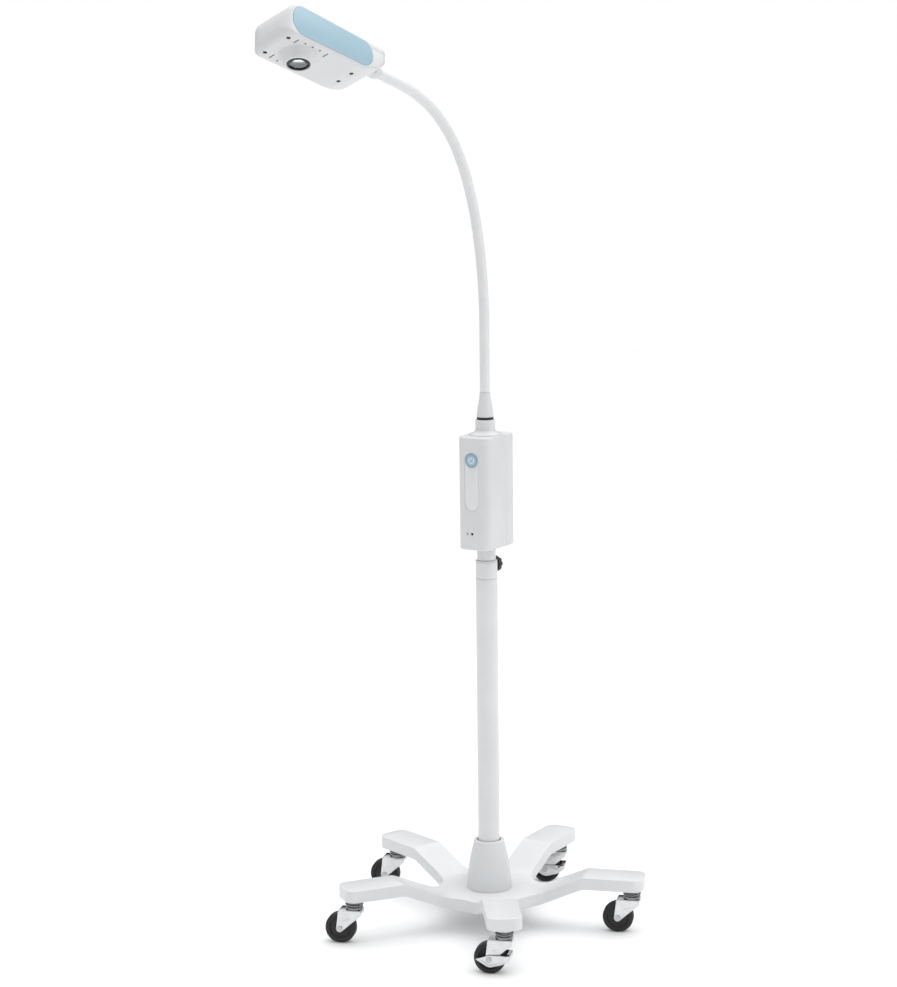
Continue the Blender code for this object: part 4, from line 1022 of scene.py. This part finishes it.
def knobShape(sizes):
    start, depth = sizes["tube"] + sizes["knobStart"], sizes["knobDepth"]
    radius = sizes["knobRadius"]
    floor = sizes["tube"] + sizes["studReach"] + clearance
    shares = [
        (0.62, 0.0), (0.80, 0.0), (0.95, 0.07), (1.0, 0.18), (1.0, 0.36), (0.97, 0.56),
        (0.90, 0.72), (0.78, 0.84),
    ]
    shares += [(0.60, 0.925), (0.36, 0.98)]
    profile = [(0, floor), (0.0041, floor), (0.0041, start)]
    profile += [(radius * r, start + depth * z) for r, z in shares] + [(0, start + depth)]
    rows = []
    for r, z in profile:
        row = ringPoints(r, z, 90)
        share = min(max((r / radius - 0.5) / 0.4, 0.0), 1.0)
        if r > 0.005:
            turns = [sizes["knobLobes"] * 2 * math.pi * i / 90 for i in range(90)]
            dips = [1 - sizes["lobeDepth"] * share * (0.5 - 0.5 * math.cos(t)) ** 2 for t in turns]
            row = [(x * d, y * d, h) for (x, y, h), d in zip(row, dips)]
        rows.append(row)
    stud = joints["knob_turn"]["pos_m"][2]
    return lyingAlongY(skinRows("knob", rows), 0, 0, stud, -1)


makePiece("shroud", shroudShape(columnSizes), "whitePlastic", "stand", ("hub_shroud",))
makePiece("mast_tube", tubeShape(columnSizes), "whitePaint", "stand", ("column_tube",))
makePiece("mast_collar", collarShape(columnSizes), "whitePaint", "stand", ("column_collar",))
makePiece("knob", knobShape(columnSizes), "blackPlastic", "clamp_knob", ("clamp_knob",))
print("column made")

# Control unit
unitSizes = {
    "width": 0.058,
    "depth": 0.089,
    "frontCorner": 0.015,
    "rearCorner": 0.009,
    "edge": 0.003,
    "rearCover": 0.028,
    "wall": 0.0025,
    "button": 0.0096,
    "buttonBelowTop": 0.037,
    "buttonProud": 0.0008,
    "buttonThick": 0.004,
    "stripHalf": 0.0125,
    "stripLength": 0.070,
    "stripDepth": 0.0011,
    "windowAboveFoot": 0.027,
    "inletAboveFoot": 0.030,
    "inletHalf": (0.0118, 0.0068),
    "postRadius": 0.011,
    "shoulderRadius": 0.0153,
    "pinRadius": 0.008,
    "socketRadius": 0.027,
    "gasketRadius": 0.0135,
    "gasketHole": 0.0081,
}
unitFoot, unitTop = heights("unit_front_cover")
unitFace = -unitSizes["depth"] / 2
buttonHeight = unitTop - unitSizes["buttonBelowTop"]


def unitBody(sizes, inset):
    low, high = unitFoot + inset, unitTop - inset
    edge = sizes["edge"]
    levels = []
    for k in range(6):
        turn = math.pi / 2 * k / 5
        levels.append((edge * (1 - math.sin(turn)), low + edge * (1 - math.cos(turn))))
    levels += [(depth, low + high - z) for depth, z in reversed(levels)]
    rows = []
    for depth, z in levels:
        total = inset + depth
        corners = rectangle(
            sizes["width"] / 2 - total, -sizes["depth"] / 2 + total, sizes["depth"] / 2 - total
        )
        front, rear = sizes["frontCorner"] - total, sizes["rearCorner"] - total
        rows.append([(x, y, z) for x, y in roundCorners(corners, [front, front, rear, rear], 10)])
    return skinRows("unitBody", rows)


def stripOutline(grow, sizes):
    half = sizes["stripHalf"] + grow
    low = buttonHeight - sizes["stripLength"]
    points = [
        (half * math.cos(t), buttonHeight + half * math.sin(t)) for t in np.linspace(0, math.pi, 25)
    ]
    points += [
        (half * math.cos(t), low + half * math.sin(t))
        for t in np.linspace(math.pi, 2 * math.pi, 25)
    ]
    return [(float(x), float(z)) for x, z in points]


def faceHole(radius, height, reach):
    return lyingAlongY(lathe("hole", [(radius, -reach), (radius, reach)], 48), 0, unitFace, height)


def coverShapes(sizes):
    far, wall = 0.2, sizes["wall"]
    seam = sizes["depth"] / 2 - sizes["rearCover"]
    inletMiddle = unitFoot + sizes["inletAboveFoot"]
    hole = sizes["pinRadius"] + 0.0004
    front = carve(
        unitBody(sizes, 0),
        [
            unitBody(sizes, wall),
            box3("rest", (-far, seam, 0), (far, far, 2)),
            lathe("stemHole", [(hole, unitFoot - 0.01), (hole, unitFoot + 0.01)], 32),
            lathe("pinHole", [(hole, unitTop - 0.01), (hole, unitTop + 0.01)], 32),
            faceHole(sizes["button"] + clearance, buttonHeight, 0.006),
            faceHole(0.0022, unitFoot + sizes["windowAboveFoot"], 0.006),
            plate(
                "pocket", stripOutline(clearance, sizes), unitFace - 0.01,
                unitFace + sizes["stripDepth"] + clearance,
            ),
        ],
    )
    inletWide, inletTall = sizes["inletHalf"]
    opening = rectangle(inletWide, inletMiddle - inletTall, inletMiddle + inletTall)
    rear = carve(
        unitBody(sizes, 0),
        [
            unitBody(sizes, wall),
            box3("rest", (-far, -far, 0), (far, seam + clearance, 2)),
            plate("opening", opening, sizes["depth"] / 2 - 0.006, sizes["depth"] / 2 + 0.01),
        ],
    )
    return easeEdges(front, 0.0004, 2, 55), easeEdges(rear, 0.0004, 2, 55)


def unitPiece(name, mesh, finish, nodes=()):
    makePiece(name, mesh, finish, "control_unit", nodes)


frontCover, rearCover = coverShapes(unitSizes)
unitPiece("front_cover", frontCover, "whitePlastic", ("unit_front_cover",))
unitPiece("rear_cover", rearCover, "whitePlastic", ("unit_rear_cover",))
strip = plate(
    "strip", stripOutline(0, unitSizes), unitFace + 0.0001, unitFace + unitSizes["stripDepth"]
)
strip = carve(strip, [faceHole(unitSizes["button"] + clearance, buttonHeight, 0.004)])
unitPiece("touch_strip", easeEdges(strip, 0.0003, 2), "touchStrip", ("dimmer_strip",))
ringProfile = [
    (0.0100, -0.0002), (0.0100, 0.0002), (0.0102, 0.0004), (0.0117, 0.0004), (0.0120, 0.0001),
    (0.0120, -0.0002),
]
buttonRing = lyingAlongY(lathe("ring", ringProfile, 72, True), 0, unitFace, buttonHeight)
unitPiece("button_ring", buttonRing, "ringBlue")
proud, back = unitSizes["buttonProud"], unitSizes["buttonProud"] - unitSizes["buttonThick"]
wide = unitSizes["button"]
buttonProfile = [
    (0, back), (wide, back), (wide, proud - 0.0008), (wide - 0.0003, proud - 0.0002),
    (wide - 0.0009, proud), (0.006, proud - 0.0002), (0, proud - 0.0003),
]
button = lyingAlongY(lathe("button", buttonProfile, 72), 0, unitFace, buttonHeight)
makePiece("button_cap", button, "bluePlastic", "button", ("power_button",))


def powerMark(radius, width, low=0.0004, high=0.0007, opening=76):
    rows = []
    near, far = radius - width / 2, radius + width / 2
    for k in range(33):
        turn = math.radians(90 + opening / 2 + (360 - opening) * k / 32)
        edges = ((near, low), (near, high), (far, high), (far, low))
        rows.append([(r * math.cos(turn), r * math.sin(turn), z) for r, z in edges])
    bar = box3("bar", (-width / 2, radius * 0.15, low), (width / 2, radius * 1.15, high))
    return gather("powerMark", [skinRows("arc", rows), bar], [Matrix.Identity(4)] * 2)


mark = lyingAlongY(powerMark(0.0044, 0.0011), 0, unitFace, buttonHeight)
makePiece("power_mark", mark, "printPale", "button")
dotProfile = [(0, 0), (0.00045, 0), (0.00045, 0.00015), (0, 0.00015)]
lampSpot = unitFoot + unitSizes["windowAboveFoot"]
rays = [
    (-0.0085 + 0.0016 * math.cos(t), unitFace, lampSpot + 0.0016 * math.sin(t))
    for t in np.linspace(0, 2 * math.pi, 9)[:-1]
]
rays = [tuple(float(value) for value in ray) for ray in rays] + [(-0.0085, unitFace, lampSpot)]
setOnPoints(
    "lamp_mark", lathe("dot", dotProfile, 12), rays, (0, -1, 0), (1, 0, 0), "printGrey",
    "control_unit",
)
windowProfile = [(0, -0.0025), (0.0018, -0.0025), (0.0018, -0.0001), (0.0012, 0.0002), (0, 0.0003)]
window = lyingAlongY(lathe("window", windowProfile, 32), 0, unitFace, lampSpot)
unitPiece("lamp_window", window, "blackPlastic", ("indicator_lens",))
screwProfile = [
    (0, -0.0004), (0.0011, -0.0004), (0.0013, 0.0006), (0.0021, 0.0006), (0.0026, 0.0002),
    (0.0026, -0.0006), (0, -0.0006),
]
rearSpots = [
    (x, unitSizes["depth"] / 2 + 0.0004, z)
    for x in (-0.021, 0.021) for z in (unitFoot + 0.012, unitTop - 0.012)
]
setOnPoints(
    "cover_screws", lathe("screw", screwProfile, 24), rearSpots, (0, 1, 0), (1, 0, 0), "bareSteel",
    "control_unit",
)
inletHeight = unitFoot + unitSizes["inletAboveFoot"]
pinSpots = [
    (-0.0045, 0.0285, inletHeight - 0.002), (0.0045, 0.0285, inletHeight - 0.002),
    (0, 0.0285, inletHeight + 0.0025),
]
pin = easeEdges(box3("pin", (-0.001, -0.0004, 0), (0.001, 0.0004, 0.011)), 0.0002, 1)
setOnPoints("inlet_pins", pin, pinSpots, (0, 1, 0), (0, 0, 1), "bareSteel", "control_unit")


def stemShape(sizes):
    foot, top = heights("unit_stem")
    shoulder, under = heights("column_collar")[1] + clearance, unitFoot - clearance
    post, wide, pin, ease = sizes["postRadius"], sizes["shoulderRadius"], sizes["pinRadius"], 0.0005
    profile = [
        (0, foot), (post - ease, foot), (post, foot + ease), (post, shoulder),
        (wide - ease, shoulder),
    ]
    profile += [
        (wide, shoulder + ease), (wide, under - ease), (wide - ease, under), (pin, under),
        (pin, top), (0, top),
    ]
    return lathe("stem", profile, 72)


def socketShape(sizes):
    foot, top = heights("arm_socket")
    base, pin, wide = unitTop + clearance, sizes["pinRadius"], sizes["socketRadius"]
    profile = [(0, foot), (pin, foot), (pin, base), (wide - 0.0002, base), (wide, base + 0.0004)]
    for k in range(1, 13):
        turn = math.pi / 2 * k / 12
        profile.append(
            (wide - 0.011 * math.sin(turn), base + 0.0009 + 0.0077 * (1 - math.cos(turn)))
        )
    return lathe("socket", profile + [(0.016, top - 0.0006), (0.0154, top), (0, top)], 96)


unitPiece("mast_stem", stemShape(unitSizes), "whitePaint", ("unit_stem",))
unitPiece("socket", socketShape(unitSizes), "whitePaint", ("arm_socket",))


def gasketShape(sizes):
    low, high = heights("arm_gasket")
    radius, hole, ease = sizes["gasketRadius"], sizes["gasketHole"], 0.0005
    profile = [
        (radius - ease, low), (radius, low + ease), (radius, high - ease), (radius - ease, high),
        (hole, high), (hole, low),
    ]
    return lathe("gasket", profile, 72, True)


unitPiece("gasket", gasketShape(unitSizes), "blackRubber", ("arm_gasket",))
ferruleLow, ferruleHigh = heights("arm_lower_ferrule")
ferruleTall = ferruleHigh - ferruleLow
ferruleShares = [
    (0.0129, 0), (0.0135, 0.014), (0.0135, 0.11), (0.0131, 0.17), (0.01235, 0.29), (0.0115, 0.42),
    (0.0104, 0.58), (0.0095, 0.72), (0.00895, 0.84), (0.0086, 0.94), (0.0083, 1.0),
]
ferruleSide = [(r, ferruleLow + ferruleTall * z) for r, z in ferruleShares]
ferruleProfile = [(0, ferruleLow)] + ferruleSide + [(0, ferruleHigh)]
unitPiece(
    "lower_ferrule", lathe("ferrule", ferruleProfile, 72), "whitePlastic", ("arm_lower_ferrule",)
)
print("control unit made")

# Flexible arm
armSizes = {
    "azimuth": -103,
    "radius": 0.008,
    "length": 0.6215,
    "straight": 0.106,
    "bendEnd": 0.573,
    "tilt": 70.6,
    "evenShare": 0.442,
    "easePower": 2.256,
    "links": 6,
    "ribDepth": 0.00008,
    "ribSpacing": 0.0042,
    "blendReach": 0.030,
    "pointSpacing": 0.004,
    "sides": 36,
}
armFoot = heights("arm_link_1")[0]


def armTilt(s, sizes):
    t = min(max((s - sizes["straight"]) / (sizes["bendEnd"] - sizes["straight"]), 0.0), 1.0)
    late = t ** sizes["easePower"]
    bend = sizes["evenShare"] * t + (1 - sizes["evenShare"]) * late * late * (3 - 2 * late)
    return math.radians(sizes["tilt"]) * bend


def armPoint(s, sizes, steps=240):
    azimuth = math.radians(sizes["azimuth"])
    ahead = Vector((math.cos(azimuth), math.sin(azimuth), 0))
    up = Vector((0, 0, 1))
    point = Vector((0, 0, armFoot))
    for k in range(steps):
        tilt = armTilt(s * (k + 0.5) / steps, sizes)
        point = point + (ahead * math.sin(tilt) + up * math.cos(tilt)) * s / steps
    tilt = armTilt(s, sizes)
    return point, ahead * math.sin(tilt) + up * math.cos(tilt)


def sleeveLine(name, start, end, sizes):
    count = max(int((end - start) / sizes["pointSpacing"]), 8)
    line = bpy.data.curves.new(name, "CURVE")
    line.dimensions = "3D"
    spline = line.splines.new("POLY")
    spline.points.add(count)
    for i in range(count + 1):
        point = onColumn @ armPoint(start + (end - start) * i / count, sizes)[0]
        spline.points[i].co = (*point, 1)
    return standIn(name, line)


def makeSleeve(sizes):
    pitch = sizes["length"] / sizes["links"]
    for n in range(1, sizes["links"]):
        start = 0.0 if n == 1 else pitch * (n - 0.5)
        end = sizes["length"] if n == sizes["links"] - 1 else pitch * (n + 0.5)
        values = {
            "Radius": sizes["radius"],
            "Rib Depth": sizes["ribDepth"],
            "Rib Spacing": sizes["ribSpacing"],
            "First Rib": start,
            "Sides": sizes["sides"],
            "Material": finishes["sleeveSkin"],
        }
        mesh = runTree(sleeveLine(f"sleeve_{n}", start, end, sizes), trees["ribbed"], values)
        nodes = (f"arm_link_{n}",) if n < sizes["links"] - 1 else (
            f"arm_link_{n}", f"arm_link_{n + 1}"
        )
        piece = makePiece(f"sleeve_{n}", mesh, "sleeveSkin", None, nodes, Matrix.Identity(4), 60)
        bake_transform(piece)


makeSleeve(armSizes)
print("arm made")

# Head
headSizes = {
    "azimuth": -108.5,
    "pitch": 20.8,
    "roll": 23.3,
    "neckAbove": 0.0350,
    "neckRadius": 0.0110,
    "neckStub": 0.002,
    "half": 0.043,
    "rear": -0.0516,
    "rearCurve": 0.018,
    "rearSolid": 0.014,
    "curl": 0.060,
    "curlRise": 0.045,
    "nose": 0.1458,
    "noseCurve": 0.013,
    "chin": 0.013,
    "chinRise": 0.023,
    "brow": 0.026,
    "browDrop": 0.034,
    "rearHeight": 0.0484,
    "noseHeight": 0.0570,
    "lowerEdge": 0.004,
    "upperEdge": 0.008,
    "wall": 0.003,
    "seamBelowTop": 0.012,
    "panelRear": -0.0173,
    "panelFront": 0.1371,
    "panelLow": 0.003,
    "panelTop": 0.0057,
    "panelCorner": 0.0196,
    "panelThick": 0.0017,
    "pocket": 0.0015,
    "lensX": 0.0907,
    "bossRadius": 0.0205,
    "bossFoot": 0.030,
    "bossHeight": 0.0146,
    "bezel": 0.0175,
    "bezelHeight": 0.007,
    "bezelHole": 0.0145,
    "lensRim": 0.01405,
    "lensCrown": 0.0030,
    "screws": ((0.0, 0.0144), (0.1323, 0.0264)),
}


def headPlace(sizes):
    azimuth, pitch, roll = (math.radians(sizes[key]) for key in ("azimuth", "pitch", "roll"))
    forward = Vector(
        (math.cos(azimuth) * math.cos(pitch), math.sin(azimuth) * math.cos(pitch), math.sin(pitch))
    )
    level = Vector((0, 0, 1)).cross(forward).normalized()
    side = level * math.cos(roll) + forward.cross(level) * math.sin(roll)
    turn = Matrix((forward, side, forward.cross(side))).transposed()
    ringMiddle = Vector((sizes["lensX"], 0, -sizes["bossHeight"] + sizes["bezelHeight"] / 2))
    return Matrix.Translation(middleOf("lens_bezel") - turn @ ringMiddle) @ turn.to_4x4()


onHead = headPlace(headSizes)


def quarter(distance, length):
    share = min(max(distance / length, 0.0), 1.0)
    return 1 - math.sqrt(1 - share * share)


def headFloor(x, sizes):
    curl = sizes["curlRise"] * quarter(sizes["rear"] + sizes["curl"] - x, sizes["curl"])
    return curl + sizes["chinRise"] * quarter(x - sizes["nose"] + sizes["chin"], sizes["chin"])


def headTop(x, sizes):
    share = (x - sizes["rear"]) / (sizes["nose"] - sizes["rear"])
    return sizes["rearHeight"] + (sizes["noseHeight"] - sizes["rearHeight"]) * share


def headRoof(x, sizes):
    return headTop(x, sizes) - sizes["browDrop"] * quarter(
        x - sizes["nose"] + sizes["brow"], sizes["brow"]
    )


def headHalf(x, sizes):
    width = sizes["half"]
    nosePast = (x - sizes["nose"] + sizes["noseCurve"]) / sizes["noseCurve"]
    rearPast = (sizes["rear"] + sizes["rearCurve"] - x) / sizes["rearCurve"]
    for past in (nosePast, rearPast):
        share = min(max(past, 0.0), 1.0) ** 1.5
        width *= (1 - share * share) ** 0.32
    return width


def headSolid(inset, rear, nose, sizes):
    start, end = sizes["rear"] + sizes["curl"], sizes["nose"] - sizes["brow"]
    shares = [0, 0.006, 0.02, 0.045, 0.08, 0.12, 0.17, 0.23, 0.3, 0.4, 0.52, 0.66, 0.82, 1]
    stations = [rear + (start - rear) * share for share in shares]
    stations += [end + (nose - end) * (1 - share) for share in reversed(shares)]
    rows = []
    for x in stations:
        half = headHalf(x, sizes) - inset
        low, high = headFloor(x, sizes) + inset, headRoof(x, sizes) - inset
        lower, upper = (min(sizes[key], (high - low) / 3) for key in ("lowerEdge", "upperEdge"))
        outline = roundCorners(rectangle(half, low, high), [lower, lower, upper, upper], 6)
        rows.append([(x, y, z) for y, z in outline])
    return skinRows("headSolid", rows)


def panelOutline(grow, sizes):
    low = sizes["panelLow"] - grow
    rear, front = sizes["panelRear"] - grow, sizes["panelFront"] + grow
    corners = [(rear, low), (front, low)]
    corners += [(x, headTop(x, sizes) - sizes["panelTop"] + grow) for x in (front, rear)]
    return roundCorners(corners, [sizes["panelCorner"] + grow] * 4, 12)


def headHousings(sizes):
    far = 0.4
    made = []
    for above, gap in ((True, 0), (False, clearance)):
        solid = headSolid(0, sizes["rear"] + 0.0003, sizes["nose"] - 0.0003, sizes)
        hollow = headSolid(
            sizes["wall"], sizes["rear"] + sizes["rearSolid"], sizes["nose"] - sizes["wall"], sizes
        )
        neckStart = sizes["rear"] - sizes["neckStub"]
        neckEnd = sizes["rear"] + sizes["rearSolid"] * 1.2
        neck = lathe("neck", [(sizes["neckRadius"], z) for z in (neckStart, neckEnd)], 48)
        neck.transform(
            Matrix.Translation((0, 0, sizes["neckAbove"])) @ Matrix.Rotation(math.pi / 2, 4, "Y")
        )
        shape = carve(carve(solid, [hollow]), [neck], "UNION")
        edge = [(x, headTop(x, sizes) - sizes["seamBelowTop"] + gap) for x in (-far, far)]
        level = far if above else -far
        outline = edge + [(far, level), (-far, level)]
        other = plate("other", outline if above else outline[::-1], -far, far)
        tools = [other]
        for side in (-1, 1):
            low, high = sorted(
                (side * (sizes["half"] - sizes["pocket"]), side * (sizes["half"] + 0.01))
            )
            tools.append(plate("pocket", panelOutline(clearance, sizes), low, high))
        if above:
            bossProfile = [(sizes["bossRadius"] - 0.0006, -sizes["bossHeight"])]
            bossProfile += [
                (sizes["bossRadius"], -sizes["bossHeight"] + 0.0006), (0.0236, -0.0082),
                (0.0264, -0.0040), (0.0284, -0.0016),
            ]
            bossProfile += [(sizes["bossFoot"], 0), (sizes["bossFoot"], 0.0015)]
            boss = lathe("boss", bossProfile, 96)
            boss.transform(Matrix.Translation((sizes["lensX"], 0, 0)))
            shape = carve(shape, [boss], "UNION")
            hole = lathe("hole", [(sizes["bezel"] + clearance, z) for z in (-0.03, 0.03)], 64)
            hole.transform(Matrix.Translation((sizes["lensX"], 0, 0)))
            recess = lathe("recess", [(0.0034, -0.0016), (0.0034, 0.0016)], 32)
            spots = [
                Matrix.Translation((x, side * y, 0)) for x, y in sizes["screws"] for side in (-1, 1)
            ]
            tools += [hole, gather("recesses", [recess] * 4, spots)]
        made.append(easeEdges(carve(shape, tools), 0.0005, 2, 55))
    return made


def headPiece(name, mesh, finish, nodes=(), place=onHead):
    makePiece(name, mesh, finish, "arm_section_6", nodes, place)


lowerHousing, upperHousing = headHousings(headSizes)
headPiece("lower_housing", lowerHousing, "whitePlastic", ("head_lower_housing",))
headPiece("upper_housing", upperHousing, "whitePlastic", ("head_upper_housing",))
for label, side in (("left", 1), ("right", -1)):
    inner = headSizes["half"] - headSizes["pocket"] + clearance
    low, high = sorted((side * inner, side * (inner + headSizes["panelThick"])))
    panel = easeEdges(plate("panel", panelOutline(0, headSizes), low, high), 0.0005, 3)
    headPiece(f"blue_panel_{label}", panel, "bluePlastic", (f"side_panel_{label}",))

atLens = onHead @ Matrix.Translation((headSizes["lensX"], 0, 0))
lensFace = -headSizes["bossHeight"]


def bezelShape(sizes):
    rim, hole, back = sizes["bezel"], sizes["bezelHole"], lensFace + sizes["bezelHeight"]
    profile = [
        (rim, back), (rim, lensFace + 0.0006), (rim - 0.0006, lensFace),
        (0.0158, lensFace - 0.0003), (0.0148, lensFace + 0.0003), (hole, lensFace + 0.0016),
        (hole, back),
    ]
    return lathe("bezel", profile, 72, True)


def lensShape(sizes):
    rim, crown = sizes["lensRim"], sizes["lensCrown"]
    dome = [(rim * k / 9, lensFace + 0.0015 - crown * (1 - (k / 9) ** 2)) for k in range(10)]
    back = [(rim, lensFace + 0.0040)] + [(rim * k / 5, lensFace + 0.0040) for k in range(4, -1, -1)]
    return lathe("glass", dome + back, 72)


headPiece("lens_ring", bezelShape(headSizes), "blackPlastic", ("lens_bezel",), atLens)
headPiece("lens_glass", lensShape(headSizes), "lensGlass", ("lens",), atLens)
cupLow, cupHigh = lensFace + 0.0073, 0.0033
reflector = [(0, cupHigh - 0.004), (0.0055, cupHigh - 0.004), (0.0130, cupLow), (0.0145, cupLow)]
reflector += [(0.0145, cupHigh), (0, cupHigh)]
headPiece("reflector", lathe("reflector", reflector), "blackPlastic", ("led_module",), atLens)
chipSteps = [(0, 0.0046), (0.0040, 0.0046), (0.0044, 0.0042), (0.0044, 0.0039), (0, 0.0039)]
chips = lathe("chips", [(r, cupHigh - drop) for r, drop in chipSteps], 48)
headPiece("led_chips", chips, "ledArray", (), atLens)


def marksOnHead(name, shape, spots, finish):
    setOnPoints(name, shape, spots, (0, 0, -1), (0, 1, 0), finish, "arm_section_6", onHead)


screwSpots = [(x, side * y, 0.0012) for x, y in headSizes["screws"] for side in (-1, 1)]
headScrew = [(r * 1.25, z) for r, z in screwProfile]
marksOnHead("head_screws", lathe("screw", headScrew, 24), screwSpots, "blackPlastic")
markSizes = {
    "dotsAcross": 0.0315, "linesAcross": 0.0275, "lineOffset": 0.028, "dotOffset": 0.014,
    "lineLength": 0.0115,
}


def besideLens(across, offsets):
    return [
        (headSizes["lensX"] + offset, side * across, 0) for side in (-1, 1) for offset in offsets
    ]


dotSpots = besideLens(markSizes["dotsAcross"], (-markSizes["dotOffset"], 0, markSizes["dotOffset"]))
bigDot = [(0, -0.0001), (0.0016, -0.0001), (0.0016, 0.0001), (0, 0.00015)]
marksOnHead("head_dots", lathe("dot", bigDot, 20), dotSpots, "printGrey")
lineSpots = besideLens(
    markSizes["linesAcross"], (-markSizes["lineOffset"], markSizes["lineOffset"])
)
bar = box3(
    "bar", (-markSizes["lineLength"] / 2, -0.0009, -0.0001),
    (markSizes["lineLength"] / 2, 0.0009, 0.00012),
)
marksOnHead("head_lines", bar, lineSpots, "printGrey")


def circleAbout(point, direction, radius, offset, sides=48):
    azimuth = math.radians(armSizes["azimuth"])
    over = direction.cross(Vector((-math.sin(azimuth), math.cos(azimuth), 0))).normalized()
    side = over.cross(direction)
    middle = point + direction * offset
    turns = [2 * math.pi * i / sides for i in range(sides)]
    return [
        tuple(middle + side * radius * math.cos(t) + over * radius * math.sin(t)) for t in turns
    ]


def neckCollar():
    point, along = armPoint(armSizes["length"], armSizes)
    facing = onHead.to_3x3().col[0]
    radius, hole, near = headSizes["neckRadius"], 0.0085, 0.0009
    rows = [circleAbout(point, facing, r, near) for r in (hole, radius * 0.90)]
    rows += [circleAbout(point, facing, radius, near - 0.001)]
    profile = (
        (radius, -0.0055), (radius * 0.98, -0.007), (radius * 0.9, -0.010), (radius * 0.83, -0.0120)
    )
    rows += [
        circleAbout(point, along, r, offset)
        for r, offset in profile + ((hole * 0.98, -0.0128), (hole * 0.98, -0.0120))
    ]
    return skinRows("neckCollar", rows, True)


makePiece("neck_collar", neckCollar(), "whitePlastic", "arm_section_6", ("arm_upper_ferrule",))
print("head made")

# Floor, light and background
studio = {
    "floorRadius": 9.0,
    "floorColour": (0.95, 0.95, 0.95),
    "floorWorn": (0.93, 0.93, 0.93),
    "horizon": 0.52,
    "overhead": 1.20,
    "mirroredHorizon": 0.02,
    "mirroredOverhead": 1.5,
    "topLight": 26,
    "sideLight": 12,
}


def makeFloor(look):
    floor = standIn(
        "studio_floor",
        skinRows("floor", [ringPoints(look["floorRadius"], z, 96) for z in (-0.02, 0)]),
    )
    made, tree, shader = startMaterial("floorPaper")
    paper = finishRow("paper", look["floorColour"], look["floorWorn"], 0.7, 60, 0.0002)
    tree.links.new(addSurface(tree, shader, paper), shader.inputs["Base Color"])
    shader.inputs["Specular IOR Level"].default_value = 0.1
    floor.data.materials.append(made)


def makeWorld(look):
    world = bpy.data.worlds.new("studioAir")
    world.use_nodes = True
    tree = world.node_tree
    tree.nodes.clear()
    direction = addNode(tree, "ShaderNodeTexCoord").outputs["Generated"]
    height = addNode(tree, "ShaderNodeSeparateXYZ", Vector=direction).outputs["Z"]
    path = addNode(tree, "ShaderNodeLightPath")
    skies = []
    for low, high, start, end in (
        ("horizon", "overhead", 0.02, 0.75), ("mirroredHorizon", "mirroredOverhead", 0.12, 0.72)
    ):
        glow = addNode(
            tree,
            "ShaderNodeMapRange",
            {"interpolation_type": "SMOOTHSTEP"},
            Value=height,
            From_Min=start,
            From_Max=end,
            To_Min=look[low],
            To_Max=look[high],
        )
        sky = addNode(tree, "ShaderNodeBackground", Strength=glow.outputs[0])
        sky.inputs["Color"].default_value = (0.99, 0.995, 1.0, 1)
        skies.append(sky.outputs[0])
    air = addNode(
        tree, "ShaderNodeMixShader", Fac=path.outputs["Is Glossy Ray"], i1=skies[0], i2=skies[1]
    )
    seen = addNode(tree, "ShaderNodeBackground", Color=(1, 1, 1, 1), Strength=1.0)
    mix = addNode(
        tree, "ShaderNodeMixShader", Fac=path.outputs["Is Camera Ray"], i1=air.outputs[0],
        i2=seen.outputs[0],
    )
    out = tree.nodes.new("ShaderNodeOutputWorld")
    tree.links.new(mix.outputs[0], out.inputs["Surface"])
    bpy.context.scene.world = world


def addSoftbox(name, power, size, spot, target):
    lamp = bpy.data.lights.new(name, "AREA")
    lamp.shape = "RECTANGLE"
    lamp.size, lamp.size_y = size
    lamp.energy = power
    box = bpy.data.objects.new(name, lamp)
    bpy.context.scene.collection.objects.link(box)
    box.location = spot
    box.rotation_euler = (Vector(target) - Vector(spot)).to_track_quat("-Z", "Y").to_euler()


makeFloor(studio)
makeWorld(studio)
addSoftbox("topSoftbox", studio["topLight"], (2.6, 2.6), (0.2, 0.4, 3.2), (0, 0, 0.4))
addSoftbox("rightSoftbox", studio["sideLight"], (1.0, 2.4), (2.6, 1.2, 1.5), (0, 0, 0.8))
bpy.context.scene.view_settings.view_transform = "Standard"
print("studio made")
